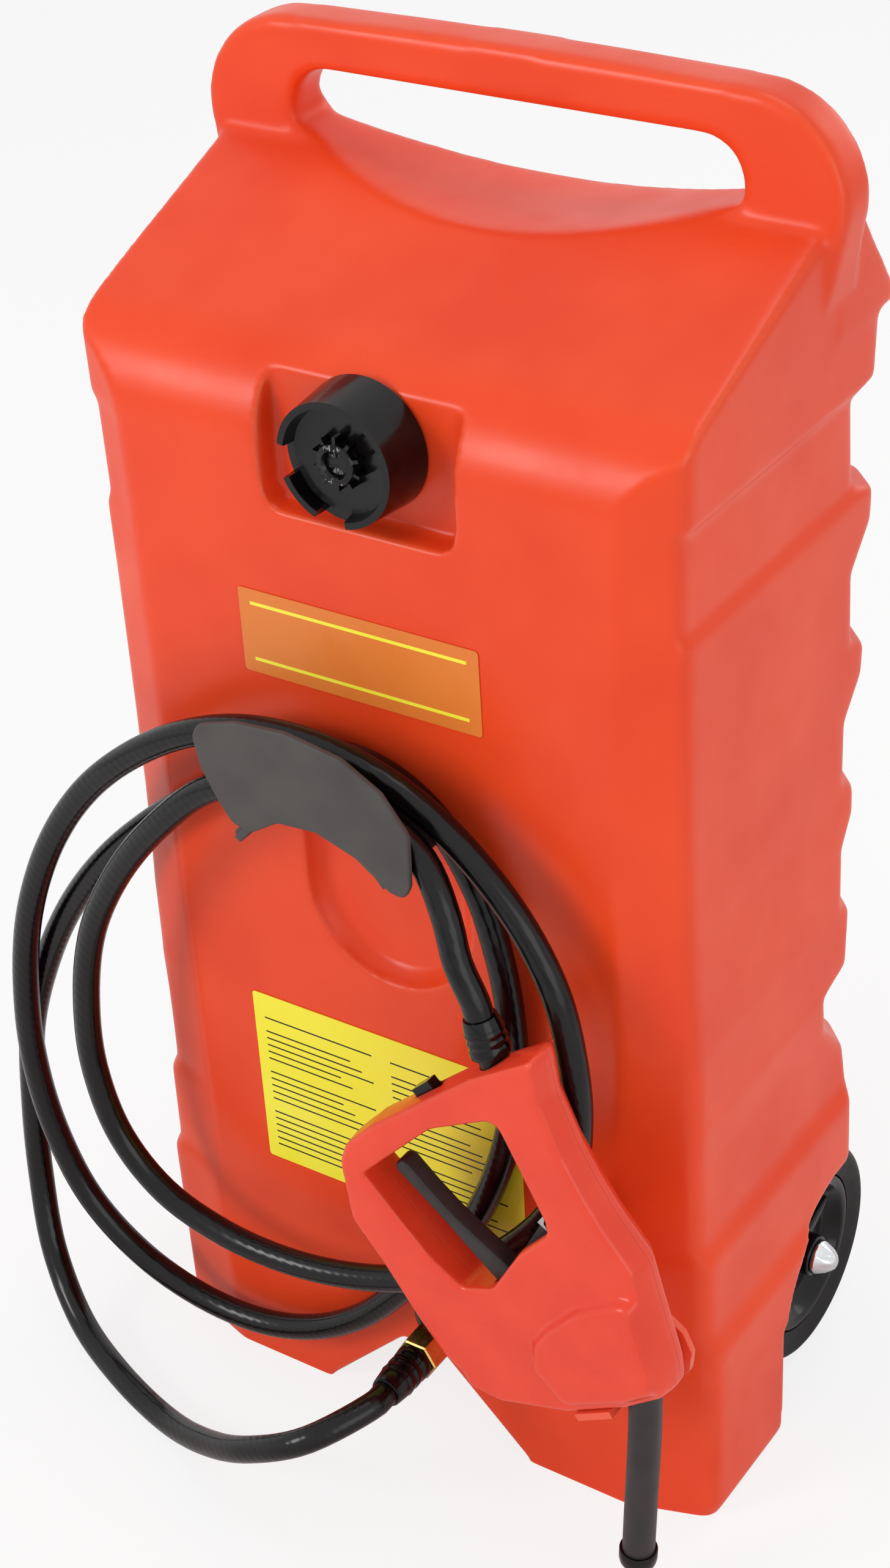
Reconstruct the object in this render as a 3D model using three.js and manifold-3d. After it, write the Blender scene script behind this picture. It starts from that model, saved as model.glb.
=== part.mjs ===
// Wheeled fuel transfer tank with a hose hanger, a coiled hose and a hand pump nozzle.
// Millimetres, +X to the tank's left seen from behind, front towards -Y, +Z up, floor at zero.
import * as THREE from "three";
import { mergeVertices } from "three/addons/utils/BufferGeometryUtils.js";
import Module from "manifold-3d";

const wasm = await Module();
wasm.setup();

// General values
const gap = 0.3;              // between pieces that touch
const overrun = 6;            // how far a cut runs past the face that it opens
const sides = 16;             // round pieces
const fineSides = 28;         // large round pieces

// Tank
const tankHalfWidth = 213;
const tankHalfFace = 161;     // the flat front between its slanted corners
const tankDepth = 258;        // front to back at the shoulder
const tankSlant = 17;         // depth of a slanted front corner
const tankBackSlant = 22;
const tankCorner = 9;         // radius of the upright edges
const tankWall = 5;
const underside = 92;         // height of the belly behind the feet
const footDepth = 107;

// Shoulder, saddle and carrying handle
const handleTop = 890;
const handleCrown = 2;        // how far the handle's ends lie below its middle
const handleHalfWidth = 211;
const handleCornerRadius = 56;
const handleBar = 33;
const handleThickness = 34;   // front to back
const handleBack = 200;
const handleBevel = 13;
const slotHalfWidth = 148;
const slotHeight = 35;        // at its ends
const slotTop = handleTop - handleBar;
const slotEndHeight = slotTop - slotHeight;
const saddleDip = 23;
const shoulderRadius = 62;
const shoulderSlope = 22.6;   // degrees above level, rising to the handle
const shoulderRidge = 198;    // distance of the ridge from the front
const ridgeDrop = 64;         // of the ridge below the handle's top
const shoulderFall = 121;     // from the ridge to the start of the curve over the front
const backSlopeFall = 81;
const handleRootFall = 84;
const spareHeight = 14;       // of the straight walls above the ridge, which the shoulder cuts off
const ridgeHeight = handleTop - ridgeDrop;
const tankBodyTop = ridgeHeight + spareHeight;
const shoulderStart = ridgeHeight - shoulderFall;
const backSlopeFoot = ridgeHeight - backSlopeFall;
const handleRoot = ridgeHeight - handleRootFall;
const slotCorner = 24;
const saddleFront = 128;

// Gussets behind the handle's legs
const gussetRise = 20;        // above the ridge
const gussetReach = 38;       // behind the handle
const gussetFall = 40;        // of its corner below the ridge
const gussetFoot = 68;        // of its foot below the ridge

// Places on the front, as shares of the height of the tank's walls
const frontPlace = (share) => share * tankBodyTop;
const neckHeight = frontPlace(0.8512);
const hangerZ = frontPlace(0.5286);     // centre of the saddle's arc

// Tunnel between the feet, wheel wells and grip pocket
const tunnelHalfWidth = 79;
const tunnelRoofHalf = 17;
const tunnelRoof = 64;
const wheelRadius = 76;
const axleFromFront = 194.5;
const wellClearance = 8;
const wellWall = 138;         // inner side wall of a wheel well, from the middle
const webInset = 16;          // thickness of the axle web beside it
const webRadius = 15;
const pocketHalfWidth = 58;
const pocketTop = hangerZ + 18;
const pocketHeight = 102;
const pocketBottom = pocketTop - pocketHeight;
const pocketDepth = 13;
const pocketBevel = 10;

// Filler
const padHalfWidth = 64;
const padBelowNeck = 47;
const padBottom = neckHeight - padBelowNeck;
const padDepth = 17;
const padCorner = 12;
const neckRadius = 30;
const neckBore = 25;
const neckLength = 19;
const threadPitch = 8;
const threadTurns = 1.2;
const threadHalfRoot = 1.4;
const threadHalfTip = 0.8;
const threadReach = 3.2;
const capRadius = 40;
const capTaper = 3;           // of its radius, from the neck's side to the front
const capFrontRadius = capRadius - capTaper;
const capBore = 34.7;
const capLength = 34;
const capFace = 3;
const capRim = 4;
const capSealThickness = 2.2;
const capNotches = 2;
const capNotchDepth = 11;
const capNotchAngle = 32;     // degrees
const hubRadius = 16;
const hubHeight = 8;
const hubRibs = 10;

// Rolling gear
const tyreWidth = 38;
const tyreInner = 149;        // inner side of the tyre, from the middle
const rimRadius = 56;
const hubBoss = 14;
const axleRadius = 5;
const bushRadius = 7.6;
const runningGap = 0.35;
const axleHalfLength = 196;
const washerThickness = 2;
const washerRadius = 12;
const pushCapRadius = 12;
const pushCapHeight = 8;
const spokes = 5;
const hubSides = 20;

// Stickers
const stickerThickness = 0.5;
const frontSticker = { width: 164, height: 55, x: -6, z: frontPlace(0.6964) };
const lowerSticker = { width: 198, height: 133, x: -12, z: frontPlace(0.2976) };

// Hose hanger
const hangerX = -8;
const saddleRadius = 66;
const saddleWall = 5;
const saddleReach = 57;       // from the tank's face to the back of the front plate
const saddleHalfAngle = 55;
const hangerPlate = 4.5;
const hangerPlateLeft = hangerX - 75.5;
const hangerPlateBottom = hangerZ + 35;
const hangerPlateWidth = 147;
const hangerPlateHeight = 87;
const hangerFlange = 4;
const hangerFlangeInner = 44;
const hangerFlangeOuter = 64;
const hangerScrewRadius = 54;
const hangerScrewAngles = [52, 90, 128];
const screwSides = 10;
const screwShank = 2;
const screwHead = 4.4;
const screwHeadHeight = 2.4;
const screwDepth = 3.6;
const screwHoleGap = 0.35;

// Nozzle
const nozzleLeft = 7;
const nozzleBottom = 136;
const nozzleWidth = 230;
const nozzleHeight = 275;
const nozzleMiddle = -62;     // plane between its two shells
const nozzleHalfThickness = 16;
const nozzleWall = 3;
const nozzleEdge = 6;         // radius of the rounding round its faces
const nozzleCorner = 7;       // radius of the corners of its outline
const nozzleFoot = [0.683, 0.055];      // the stretch of its underside that stands in the holster
const nozzleHeel = [0.865, 0.142];
const pumpBulge = 8;
const triggerHalfThickness = 7;
const triggerSwing = 18;      // degrees
const triggerHub = 9;
const triggerTip = 7;
const triggerArm = 5;
const triggerBevel = 2;
const bladeSlotGap = 1.5;
const armSlotGap = 4;
const armHalfThickness = 3.4;
const pinRadius = 3;
const pinGap = 0.35;
const springWire = 0.6;       // radius
const springPlay = 0.8;
const springTurns = 4;
const springSteps = 8;        // in a turn
const cylinderRadius = 12.6;
const cylinderBore = 10.4;
const cylinderStart = 33.5;
const cylinderEnd = 64.5;
const cylinderEndWall = 2;
const pistonRadius = 9.9;
const pistonStart = 35.5;
const pistonLength = 5;
const grooveDepth = 1.2;
const rodRadius = 3.2;
const forkInner = 4.6;
const forkWall = 3;
const forkHalfHeight = 7;
const forkStart = -6;
const forkBridge = 9;
const forkEyeGap = 0.9;
const forkEyePlay = 1.6;      // room across the stroke for the pin's arc
const latchHalfThickness = 4;
const latchRadius = 4;
const latchTravel = 8;
const latchTab = 14.5;
const latchCatch = 10.5;
const latchTabWidth = 16;
const latchCatchWidth = 9;
const latchSlotGap = 1;
const outletHousingRadius = 10;
const outletHousingBore = 6.5;
const outletHousingLength = 35.6;
const outletSeatBore = 4.5;
const outletSeatDepth = 3;
const valveRadius = 5.6;
const valveDrop = 3.95;       // from the seat's mouth down to the ball's middle
const valveSides = 12;
const inletTubeRadius = 4.5;
const inletTubeBore = 2.5;
const shellScrewRadius = 1.7;
const shellBossRadius = 4.4;
const shellScrewHead = 3.4;

// Spout
const spoutRadius = 10.3;
const spoutBore = 8.3;
const spoutSides = 12;
const spoutTipRadius = 12;
const spoutTipLength = 9;
const spoutTipLip = 2;
const collarRadius = 12.6;
const collarLength = 5;

// Hose, its cuffs and the outlet
const hoseRadius = 8.75;
const hoseSides = 10;
const hoseSteps = 80;
const cuffRadius = 12.5;
const cuffEndRadius = 10;
const inletCuffLength = 24;
const outletCuffLength = 34;
const inletLean = 16;         // degrees from upright, towards the tank's middle
const inletStub = 5;
const outletCentreX = 24;
const outletCentreZ = 97;
const outletFlangeRadius = 26;
const outletFlange = 6;
const outletNeckRadius = 12;
const outletNeck = 10;
const outletShank = 10.4;
const outletShankLength = 9;
const outletBore = 6.5;
const nutRadius = 17;
const nutThickness = 6;
const brassRadius = 15;
const brassLength = 24;
const strainerRadius = 8;
const strainerLength = 40;
const strainerWall = 1.5;

// Holster
const holsterCentre = [0.8522, 0.2327];   // shares of the nozzle
const holsterLow = [0.7783, 0.1455];
const holsterRadius = 27;
const holsterLowRadius = 18;
const holsterPlate = 4.5;
const holsterBase = { width: 35, bottom: 150, height: 55, thickness: 5 };
const holsterArmHeight = 14;
const holsterArmZ = 176;
const holsterShelf = 5;
const holsterShelfStart = 3;
const holsterShelfEnd = 31;

const radians = THREE.MathUtils.degToRad;
const material = (color, roughness, metalness = 0) =>
  new THREE.MeshStandardMaterial({ color, roughness, metalness });
const tankRed = material(0xe8431f, 0.42);
const pumpRed = material(0xe5452b, 0.35);
const black = material(0x17141a, 0.3);
const softBlack = material(0x1d1b1e, 0.6);
const darkGrey = material(0x4a4648, 0.5);
const hangerGrey = material(0x55524f, 0.55);
const steel = material(0xb8babd, 0.35, 0.9);
const chrome = material(0xdcdfe2, 0.12, 1);
const brass = material(0xc9a56a, 0.3, 0.9);
const orangeFilm = material(0xe8782e, 0.4);
const yellowFilm = material(0xf7e832, 0.4);
const whitePlastic = material(0xd8d6cf, 0.4);

// Axes of shapes that are drawn flat and then extruded
const basis = (x, y, z) => new THREE.Matrix4().makeBasis(
  new THREE.Vector3(...x), new THREE.Vector3(...y), new THREE.Vector3(...z));
const uprightFront = basis([1, 0, 0], [0, 0, 1], [0, -1, 0]);   // drawn in X and Z, grows to -Y
const uprightSide = basis([0, 1, 0], [0, 0, 1], [1, 0, 0]);     // drawn in Y and Z, grows to +X
const spinToFront = basis([1, 0, 0], [0, -1, 0], [0, 0, -1]);   // a lathe's +Y becomes -Y

// A closed mesh as a solid for cuts and joins, and back
function solid(geometry) {
  const bare = geometry.index ? geometry.toNonIndexed() : geometry.clone();
  bare.deleteAttribute("normal");
  bare.deleteAttribute("uv");
  const merged = mergeVertices(bare, 1e-4);
  return new wasm.Manifold(new wasm.Mesh({
    numProp: 3,
    vertProperties: new Float32Array(merged.attributes.position.array),
    triVerts: new Uint32Array(merged.index.array),
  }));
}

function geometryOf(shape) {
  const mesh = shape.getMesh();
  const geometry = new THREE.BufferGeometry();
  geometry.setAttribute("position", new THREE.BufferAttribute(new Float32Array(mesh.vertProperties), 3));
  geometry.setIndex(new THREE.BufferAttribute(new Uint32Array(mesh.triVerts), 1));
  return geometry;
}

const joined = (list) => list.reduce((sum, item) => sum.add(item));
const cut = (shape, list) => list.reduce((rest, item) => rest.subtract(item), shape);

const group = new THREE.Group();
function node(name, shape, finish) {
  const flat = (shape.isBufferGeometry ? shape : geometryOf(shape)).clone();
  const geometry = flat.index ? flat.toNonIndexed() : flat;
  geometry.computeVertexNormals();
  const mesh = new THREE.Mesh(geometry, finish);
  mesh.name = name;
  group.add(mesh);
  return mesh;
}

const flatShape = (points, holes = []) => {
  const shape = new THREE.Shape(points.map(([x, y]) => new THREE.Vector2(x, y)));
  shape.holes = holes.map((hole) => new THREE.Path(hole.map(([x, y]) => new THREE.Vector2(x, y))));
  return shape;
};

// A flat outline made into a slab; its edges may be rounded by a bevel that stays inside the outline
function slab(points, depth, { holes = [], bevel = 0, bevelSteps = 1, axes = uprightFront, at = [0, 0, 0] } = {}) {
  const geometry = new THREE.ExtrudeGeometry(flatShape(points, holes), {
    depth: depth - bevel - bevel,
    bevelEnabled: bevel > 0,
    bevelThickness: bevel,
    bevelSize: bevel,
    bevelOffset: -bevel,
    bevelSegments: bevelSteps,
  });
  geometry.translate(0, 0, bevel);
  geometry.applyMatrix4(axes);
  geometry.translate(...at);
  return geometry;
}

const slabSolid = (points, depth, options) => solid(slab(points, depth, options));

function block(x0, x1, y0, y1, z0, z1) {
  const geometry = new THREE.BoxGeometry(x1 - x0, y1 - y0, z1 - z0);
  geometry.translate((x0 + x1) / 2, (y0 + y1) / 2, (z0 + z1) / 2);
  return solid(geometry);
}

// Radius of a hole whose flats clear a round piece of the given radius
const clear = (radius) => (radius + gap) / Math.cos(Math.PI / sides);

const circle = (x, y, radius, count = sides, start = 0) => Array.from({ length: count }, (_, i) => {
  const angle = radians(start) + (2 * Math.PI * i) / count;
  return [x + radius * Math.cos(angle), y + radius * Math.sin(angle)];
});

// Points on an arc from one angle to another, in degrees
const arc = (x, y, radius, from, to, steps) => Array.from({ length: steps + 1 }, (_, i) => {
  const angle = radians(from + ((to - from) * i) / steps);
  return [x + radius * Math.cos(angle), y + radius * Math.sin(angle)];
});

// The outline with each corner rounded to the radius, where the corner's sides allow it
function rounded(points, radius, steps = 2) {
  return points.flatMap((point, i) => {
    const before = points[(i + points.length - 1) % points.length];
    const after = points[(i + 1) % points.length];
    const a = new THREE.Vector2(before[0] - point[0], before[1] - point[1]);
    const b = new THREE.Vector2(after[0] - point[0], after[1] - point[1]);
    const half = a.angleTo(b) / 2;
    const reach = Math.min(radius / Math.tan(half), a.length() * 0.45, b.length() * 0.45);
    const p = new THREE.Vector2(...point);
    const start = p.clone().addScaledVector(a.clone().normalize(), reach);
    const end = p.clone().addScaledVector(b.clone().normalize(), reach);
    const curve = new THREE.QuadraticBezierCurve(start, p, end);
    return curve.getPoints(steps).map((q) => [q.x, q.y]);
  });
}

// The outline moved inwards by a distance; a negative one moves it outwards
function inset(points, distance) {
  const area = points.reduce((sum, [x, y], i) => {
    const [u, v] = points[(i + 1) % points.length];
    return sum + x * v - u * y;
  }, 0);
  const turn = Math.sign(area);
  return points.map((point, i) => {
    const before = points[(i + points.length - 1) % points.length];
    const after = points[(i + 1) % points.length];
    const a = new THREE.Vector2(point[0] - before[0], point[1] - before[1]).normalize();
    const b = new THREE.Vector2(after[0] - point[0], after[1] - point[1]).normalize();
    const na = new THREE.Vector2(-a.y * turn, a.x * turn);
    const nb = new THREE.Vector2(-b.y * turn, b.x * turn);
    const mitre = na.clone().add(nb);
    const scale = distance / Math.max(mitre.lengthSq() / 2, 0.35);
    return [point[0] + mitre.x * scale, point[1] + mitre.y * scale];
  });
}

// A bar between two round ends of their own radii
function bar(from, to, fromRadius, toRadius, steps = 4) {
  const along = new THREE.Vector2(to[0] - from[0], to[1] - from[1]);
  const heading = THREE.MathUtils.radToDeg(along.angle());
  const open = THREE.MathUtils.radToDeg(Math.acos((fromRadius - toRadius) / along.length()));
  return [
    ...arc(to[0], to[1], toRadius, heading - open, heading + open, steps),
    ...arc(from[0], from[1], fromRadius, heading + open, heading + 360 - open, steps),
  ];
}

// A turned piece: profile of [radius, height] pairs, turned about +Y and then placed
function turned(profile, { count = sides, place = new THREE.Matrix4() } = {}) {
  const area = profile.reduce((sum, [r, h], i) => {
    const [r2, h2] = profile[(i + 1) % profile.length];
    return sum + r * h2 - r2 * h;
  }, 0);
  const outward = area > 0 ? profile : profile.toReversed();
  const geometry = new THREE.LatheGeometry(outward.map(([r, h]) => new THREE.Vector2(r, h)), count);
  geometry.applyMatrix4(place);
  return geometry;
}

// A pipe profile for the lathe, closed on itself
const pipeProfile = (outer, inner, from, to) => [
  [inner, from], [outer, from], [outer, to], [inner, to], [inner, from],
];
const rodProfile = (radius, from, to) => [[0, from], [radius, from], [radius, to], [0, to]];

// The placement that turns a lathe's axis to a direction from a point
function aimed(point, direction) {
  const turn = new THREE.Quaternion().setFromUnitVectors(
    new THREE.Vector3(0, 1, 0), new THREE.Vector3(...direction).normalize());
  return new THREE.Matrix4().compose(new THREE.Vector3(...point), turn, new THREE.Vector3(1, 1, 1));
}
const alongX = (x, y, z) => aimed([x, y, z], [1, 0, 0]);
const alongFront = (x, y, z) => new THREE.Matrix4().makeTranslation(x, y, z).multiply(spinToFront);

const turnedSolid = (profile, options) => solid(turned(profile, options));

// A tube along a smooth curve through the points
function tube(points, radius, count, steps) {
  const path = new THREE.CatmullRomCurve3(points.map((p) => new THREE.Vector3(...p)), false, "centripetal");
  return new THREE.ExtrudeGeometry(flatShape(circle(0, 0, radius, count)), { steps, extrudePath: path });
}

// Rings of points joined into one closed skin; its ends are fans unless their triangles are given
function loft(rings, ends) {
  const count = rings[0].length;
  const faces = ends ?? Array.from({ length: count - 2 }, (_, i) => [0, i + 1, i + 2]);
  const positions = rings.flat();
  const last = rings.length - 1;
  const index = [];
  for (let level = 0; level < last; level += 1) {
    for (let i = 0; i < count; i += 1) {
      const a = level * count + i;
      const b = level * count + ((i + 1) % count);
      index.push(a, b, b + count, a, b + count, a + count);
    }
  }
  for (const [a, b, c] of faces) {
    index.push(a, c, b, last * count + a, last * count + b, last * count + c);
  }
  const geometry = new THREE.BufferGeometry();
  geometry.setAttribute("position", new THREE.BufferAttribute(new Float32Array(positions.flat()), 3));
  geometry.setIndex(index);
  return geometry;
}

// An outline in X and Z with sharp corners, made into a slab that grows to -Y with rounded corners and
// edges; an opening is the slab to cut away, which widens towards the two faces
function softSlab(points, depth, edge, corner, { opening = false, back = 0 } = {}) {
  const area = THREE.ShapeUtils.area(points.map(([x, y]) => new THREE.Vector2(x, y)));
  const outline = area > 0 ? points : points.toReversed();
  const bends = [0, 45, 90].map(radians);
  const half = bends.map((bend) => [edge * (1 - Math.sin(bend)), edge * (1 - Math.cos(bend))]);
  const levels = [...half, ...half.toReversed().map(([inwards, from]) => [inwards, depth - from])];
  const all = opening ? [[edge, -overrun], ...levels, [edge, depth + overrun]] : levels;
  const flat = all.map(([inwards]) => rounded(inset(outline, opening ? -inwards : inwards), corner, 1));
  const rings = flat.map((ring, i) => ring.map(([x, z]) => [x, back - all[i][1], z]));
  return solid(loft(rings, wasm.triangulate([flat[0]])));
}

// A thread ridge about the lathe's +Y axis, rising with the turn, from a root radius to a tip radius
function ridge(root, tip, from, turns, pitch) {
  const steps = Math.round(turns * sides);
  const rings = Array.from({ length: steps + 1 }, (_, i) => {
    const angle = (2 * Math.PI * i) / sides;
    const height = from + (pitch * i) / sides;
    const corner = (radius, lift) => [
      radius * Math.sin(angle), height + lift, radius * Math.cos(angle)];
    return [
      corner(root, -threadHalfRoot), corner(tip, -threadHalfTip),
      corner(tip, threadHalfTip), corner(root, threadHalfRoot),
    ];
  });
  const geometry = loft(rings);
  const shape = solid(geometry);
  if (shape.volume() > 0) return geometry;
  geometry.setIndex(Array.from(geometry.index.array).reverse());
  return geometry;
}

// Tank body: levels of its outer form, bottom to top. Each row holds the height as a share of the
// body's top, then the side, the front flat, the slanted corner and the back as shares of their sizes.
const levelShares = [
  [0.0000, 0.962, 0.944, 1.00, 0.884],
  [0.0095, 0.991, 0.975, 1.00, 0.884],
  [0.1643, 1.000, 0.981, 1.00, 0.884],
  [0.1786, 0.972, 0.975, 1.00, 0.884],
  [0.2476, 0.969, 0.975, 1.00, 0.884],
  [0.2619, 0.941, 0.975, 1.00, 0.899],
  [0.2952, 0.939, 0.975, 1.00, 0.884],
  [0.3298, 0.939, 0.975, 1.00, 0.787],
  [0.3643, 0.944, 0.975, 1.00, 0.771],
  [0.3738, 0.941, 0.975, 1.00, 0.888],
  [0.4202, 0.939, 0.978, 1.00, 0.903],
  [0.4298, 0.939, 0.981, 1.00, 0.860],
  [0.4762, 0.930, 0.981, 1.00, 0.876],
  [0.5000, 0.927, 0.984, 1.00, 0.930],
  [0.5214, 0.925, 0.984, 1.00, 0.934],
  [0.5321, 0.925, 0.988, 1.00, 0.880],
  [0.5833, 0.923, 0.991, 1.00, 0.888],
  [0.6119, 0.923, 0.994, 1.00, 0.969],
  [0.6345, 0.923, 0.994, 1.00, 0.977],
  [0.6440, 0.923, 0.994, 1.00, 0.911],
  [0.7000, 0.923, 1.000, 1.00, 0.907],
  [0.7310, 0.924, 1.000, 1.00, 0.996],
  [0.7548, 0.925, 1.000, 1.00, 1.000],
  [0.7643, 0.908, 1.000, 1.00, 0.922],
  [0.8333, 0.913, 1.012, 1.00, 0.903],
  [0.8405, 0.932, 1.015, 1.00, 0.984],
  [0.9048, 0.937, 1.037, 1.00, 0.996],
  [1.0000, 0.941, 1.050, 1.00, 1.000],
];

function tankRing([level, side, face, slant, back], skin) {
  const halfSide = tankHalfWidth * side - skin;
  const halfFace = tankHalfFace * face - skin / 2;
  const front = skin;
  const slantDepth = tankSlant * slant + skin / 2;
  const rear = tankDepth * back - skin;
  const outline = [
    [-halfFace, front], [halfFace, front], [halfSide, slantDepth], [halfSide, rear - tankBackSlant],
    [halfSide - tankBackSlant, rear], [tankBackSlant - halfSide, rear],
    [-halfSide, rear - tankBackSlant], [-halfSide, slantDepth],
  ];
  const height = Math.max(level * tankBodyTop, skin);
  return (skin > 0 ? outline : rounded(outline, tankCorner, 2)).map(([x, y]) => [x, y, height]);
}

// Side view of the space under the shoulder, the ridge and the back slope
function shoulderOutline(skin) {
  const lift = skin / Math.cos(radians(shoulderSlope));
  const rise = Math.tan(radians(shoulderSlope));
  const radius = shoulderRadius - skin;
  const curve = arc(shoulderRadius, shoulderStart, radius, 180, 90 + shoulderSlope, 8);
  const slopeEnd = curve[curve.length - 1];
  const ridgeZ = ridgeHeight - skin;
  const slopeTop = slopeEnd[0] + (ridgeZ + skin - lift - slopeEnd[1]) / rise;
  const rear = tankDepth + overrun;
  return [
    [-overrun, -overrun], [-overrun, shoulderStart], ...curve, [slopeTop, ridgeZ],
    [shoulderRidge - skin, ridgeZ], [tankDepth - skin, backSlopeFoot], [rear, backSlopeFoot],
    [rear, -overrun],
  ];
}

const sagging = (halfWidth, endHeight, dip, steps = 8) => Array.from({ length: steps + 1 }, (_, i) => {
  const share = (2 * i) / steps - 1;
  return [halfWidth * share, endHeight - dip * (1 - share * share)];
});

function slotOutline(skin) {
  const half = slotHalfWidth + skin;
  const top = slotTop + skin;
  const radius = slotCorner + skin;
  return [
    ...sagging(half, slotEndHeight - skin, saddleDip),
    ...arc(half - radius, top - radius, radius, 0, 90, 4),
    ...arc(radius - half, top - radius, radius, 90, 180, 4),
  ];
}

const handleRootShare = 0.912;
function handleOutline(skin) {
  const half = handleHalfWidth - skin;
  const top = handleTop - skin;
  const radius = handleCornerRadius - skin;
  const rootHalf = tankHalfWidth * handleRootShare - skin;
  const elbow = (handleRoot + slotEndHeight) / 2;
  const end = top - handleCrown - radius;
  const crown = (share) => [half * share, top - handleCrown * share * share];
  return [
    [-rootHalf, handleRoot], [rootHalf, handleRoot], [(rootHalf + half) / 2, elbow],
    ...arc(half - radius, end, radius, 0, 90, 6), crown(0.4), crown(0), crown(-0.4),
    ...arc(radius - half, end, radius, 90, 180, 6), [-(rootHalf + half) / 2, elbow],
  ];
}

// Gusset behind each leg of the handle, down to the body's back
const gussetSideShare = 0.94;
function gusset(hand, skin) {
  const outer = tankHalfWidth * gussetSideShare - skin;
  const inner = slotHalfWidth + skin;
  const back = handleBack - skin;
  return slabSolid([
    [back - handleThickness / 2, backSlopeFoot], [tankDepth - skin - skin, backSlopeFoot],
    [tankDepth - skin - skin, ridgeHeight - gussetFoot - skin],
    [back + gussetReach, ridgeHeight - gussetFall - skin],
    [back, ridgeHeight + gussetRise - skin], [back - handleThickness / 2, ridgeHeight],
  ], outer - inner, { axes: uprightSide, at: [hand > 0 ? inner : -outer, 0, 0] });
}

// The tank's form at a depth below its outer skin: zero gives the outside, the wall gives the hollow
function tankForm(skin) {
  const wide = tankHalfWidth + overrun;
  const body = solid(loft(levelShares.map((row) => tankRing(row, skin))));
  const shoulder = slabSolid(shoulderOutline(skin), wide + wide, { axes: uprightSide, at: [-wide, 0, 0] });
  const saddle = slabSolid([
    ...sagging(slotHalfWidth + skin, slotEndHeight - skin, saddleDip),
    [slotHalfWidth + skin, handleTop], [-slotHalfWidth - skin, handleTop],
  ], tankDepth, { at: [0, tankDepth + saddleFront - skin, 0] });
  const roofHalf = tunnelRoofHalf + skin / 2;
  const baseHalf = tunnelHalfWidth + skin;
  const tunnel = slabSolid([
    [-baseHalf - overrun, -overrun], [baseHalf + overrun, -overrun], [roofHalf, tunnelRoof + skin],
    [-roofHalf, tunnelRoof + skin],
  ], tankDepth + overrun + overrun, { at: [0, tankDepth + overrun, 0] });
  const pocket = slabSolid([
    [-pocketHalfWidth - skin, pocketTop + skin],
    ...arc(0, pocketBottom + pocketHalfWidth, pocketHalfWidth + skin, 180, 360, 10),
    [pocketHalfWidth + skin, pocketTop + skin],
  ], pocketDepth + pocketDepth + skin, { bevel: pocketBevel, at: [0, pocketDepth + skin, 0] });
  const padHalf = padHalfWidth + skin;
  const pad = slabSolid(rounded([
    [-padHalf, padBottom - skin], [padHalf, padBottom - skin], [padHalf, handleTop], [-padHalf, handleTop],
  ], padCorner), padDepth + padDepth + skin, { at: [0, padDepth + skin, 0] });
  const wellRadius = wheelRadius + wellClearance + skin;
  const wellSide = wellWall - skin;
  const wells = [-1, 1].flatMap((hand) => {
    const from = hand > 0 ? wellSide : -wide;
    const round = turnedSolid(rodProfile(wellRadius, 0, wide - wellSide),
      { count: fineSides, place: alongX(from, axleFromFront, wheelRadius) });
    const low = block(from, from + wide - wellSide, axleFromFront - wellRadius, tankDepth + overrun,
      -overrun, wheelRadius);
    const rear = block(from, from + wide - wellSide, axleFromFront, tankDepth + overrun,
      -overrun, wheelRadius + wellRadius);
    return [round, low, rear];
  });
  const belly = block(-wide, wide, footDepth - skin, tankDepth + overrun, -overrun, underside + skin);
  const trimmed = cut(body.intersect(shoulder), [saddle, tunnel, pocket, pad, ...wells, belly]);
  const handle = slabSolid(handleOutline(skin), handleThickness - skin - skin, {
    holes: [slotOutline(skin)], bevel: handleBevel - skin, bevelSteps: 2, at: [0, handleBack - skin, 0],
  });
  return joined([trimmed, handle, gusset(-1, skin), gusset(1, skin)]);
}

const capPlace = alongFront(0, padDepth, neckHeight);
const screwHole = (x, z) => turnedSolid(rodProfile(screwShank + screwHoleGap, -overrun, screwDepth + gap),
  { count: 12, place: aimed([x, 0, z], [0, 1, 0]) });
const hangerScrewPlaces = hangerScrewAngles.map((angle) => [
  hangerX + hangerScrewRadius * Math.cos(radians(angle)),
  hangerZ + hangerScrewRadius * Math.sin(radians(angle)),
]);
const holsterRight = tankHalfFace * 0.975;
const holsterLeft = holsterRight - holsterBase.width;
const holsterScrewInset = screwHead + gap + gap;
const holsterScrewPlaces = [holsterScrewInset, holsterBase.height - holsterScrewInset]
  .map((up) => [(holsterLeft + holsterRight) / 2, holsterBase.bottom + up]);

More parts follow.
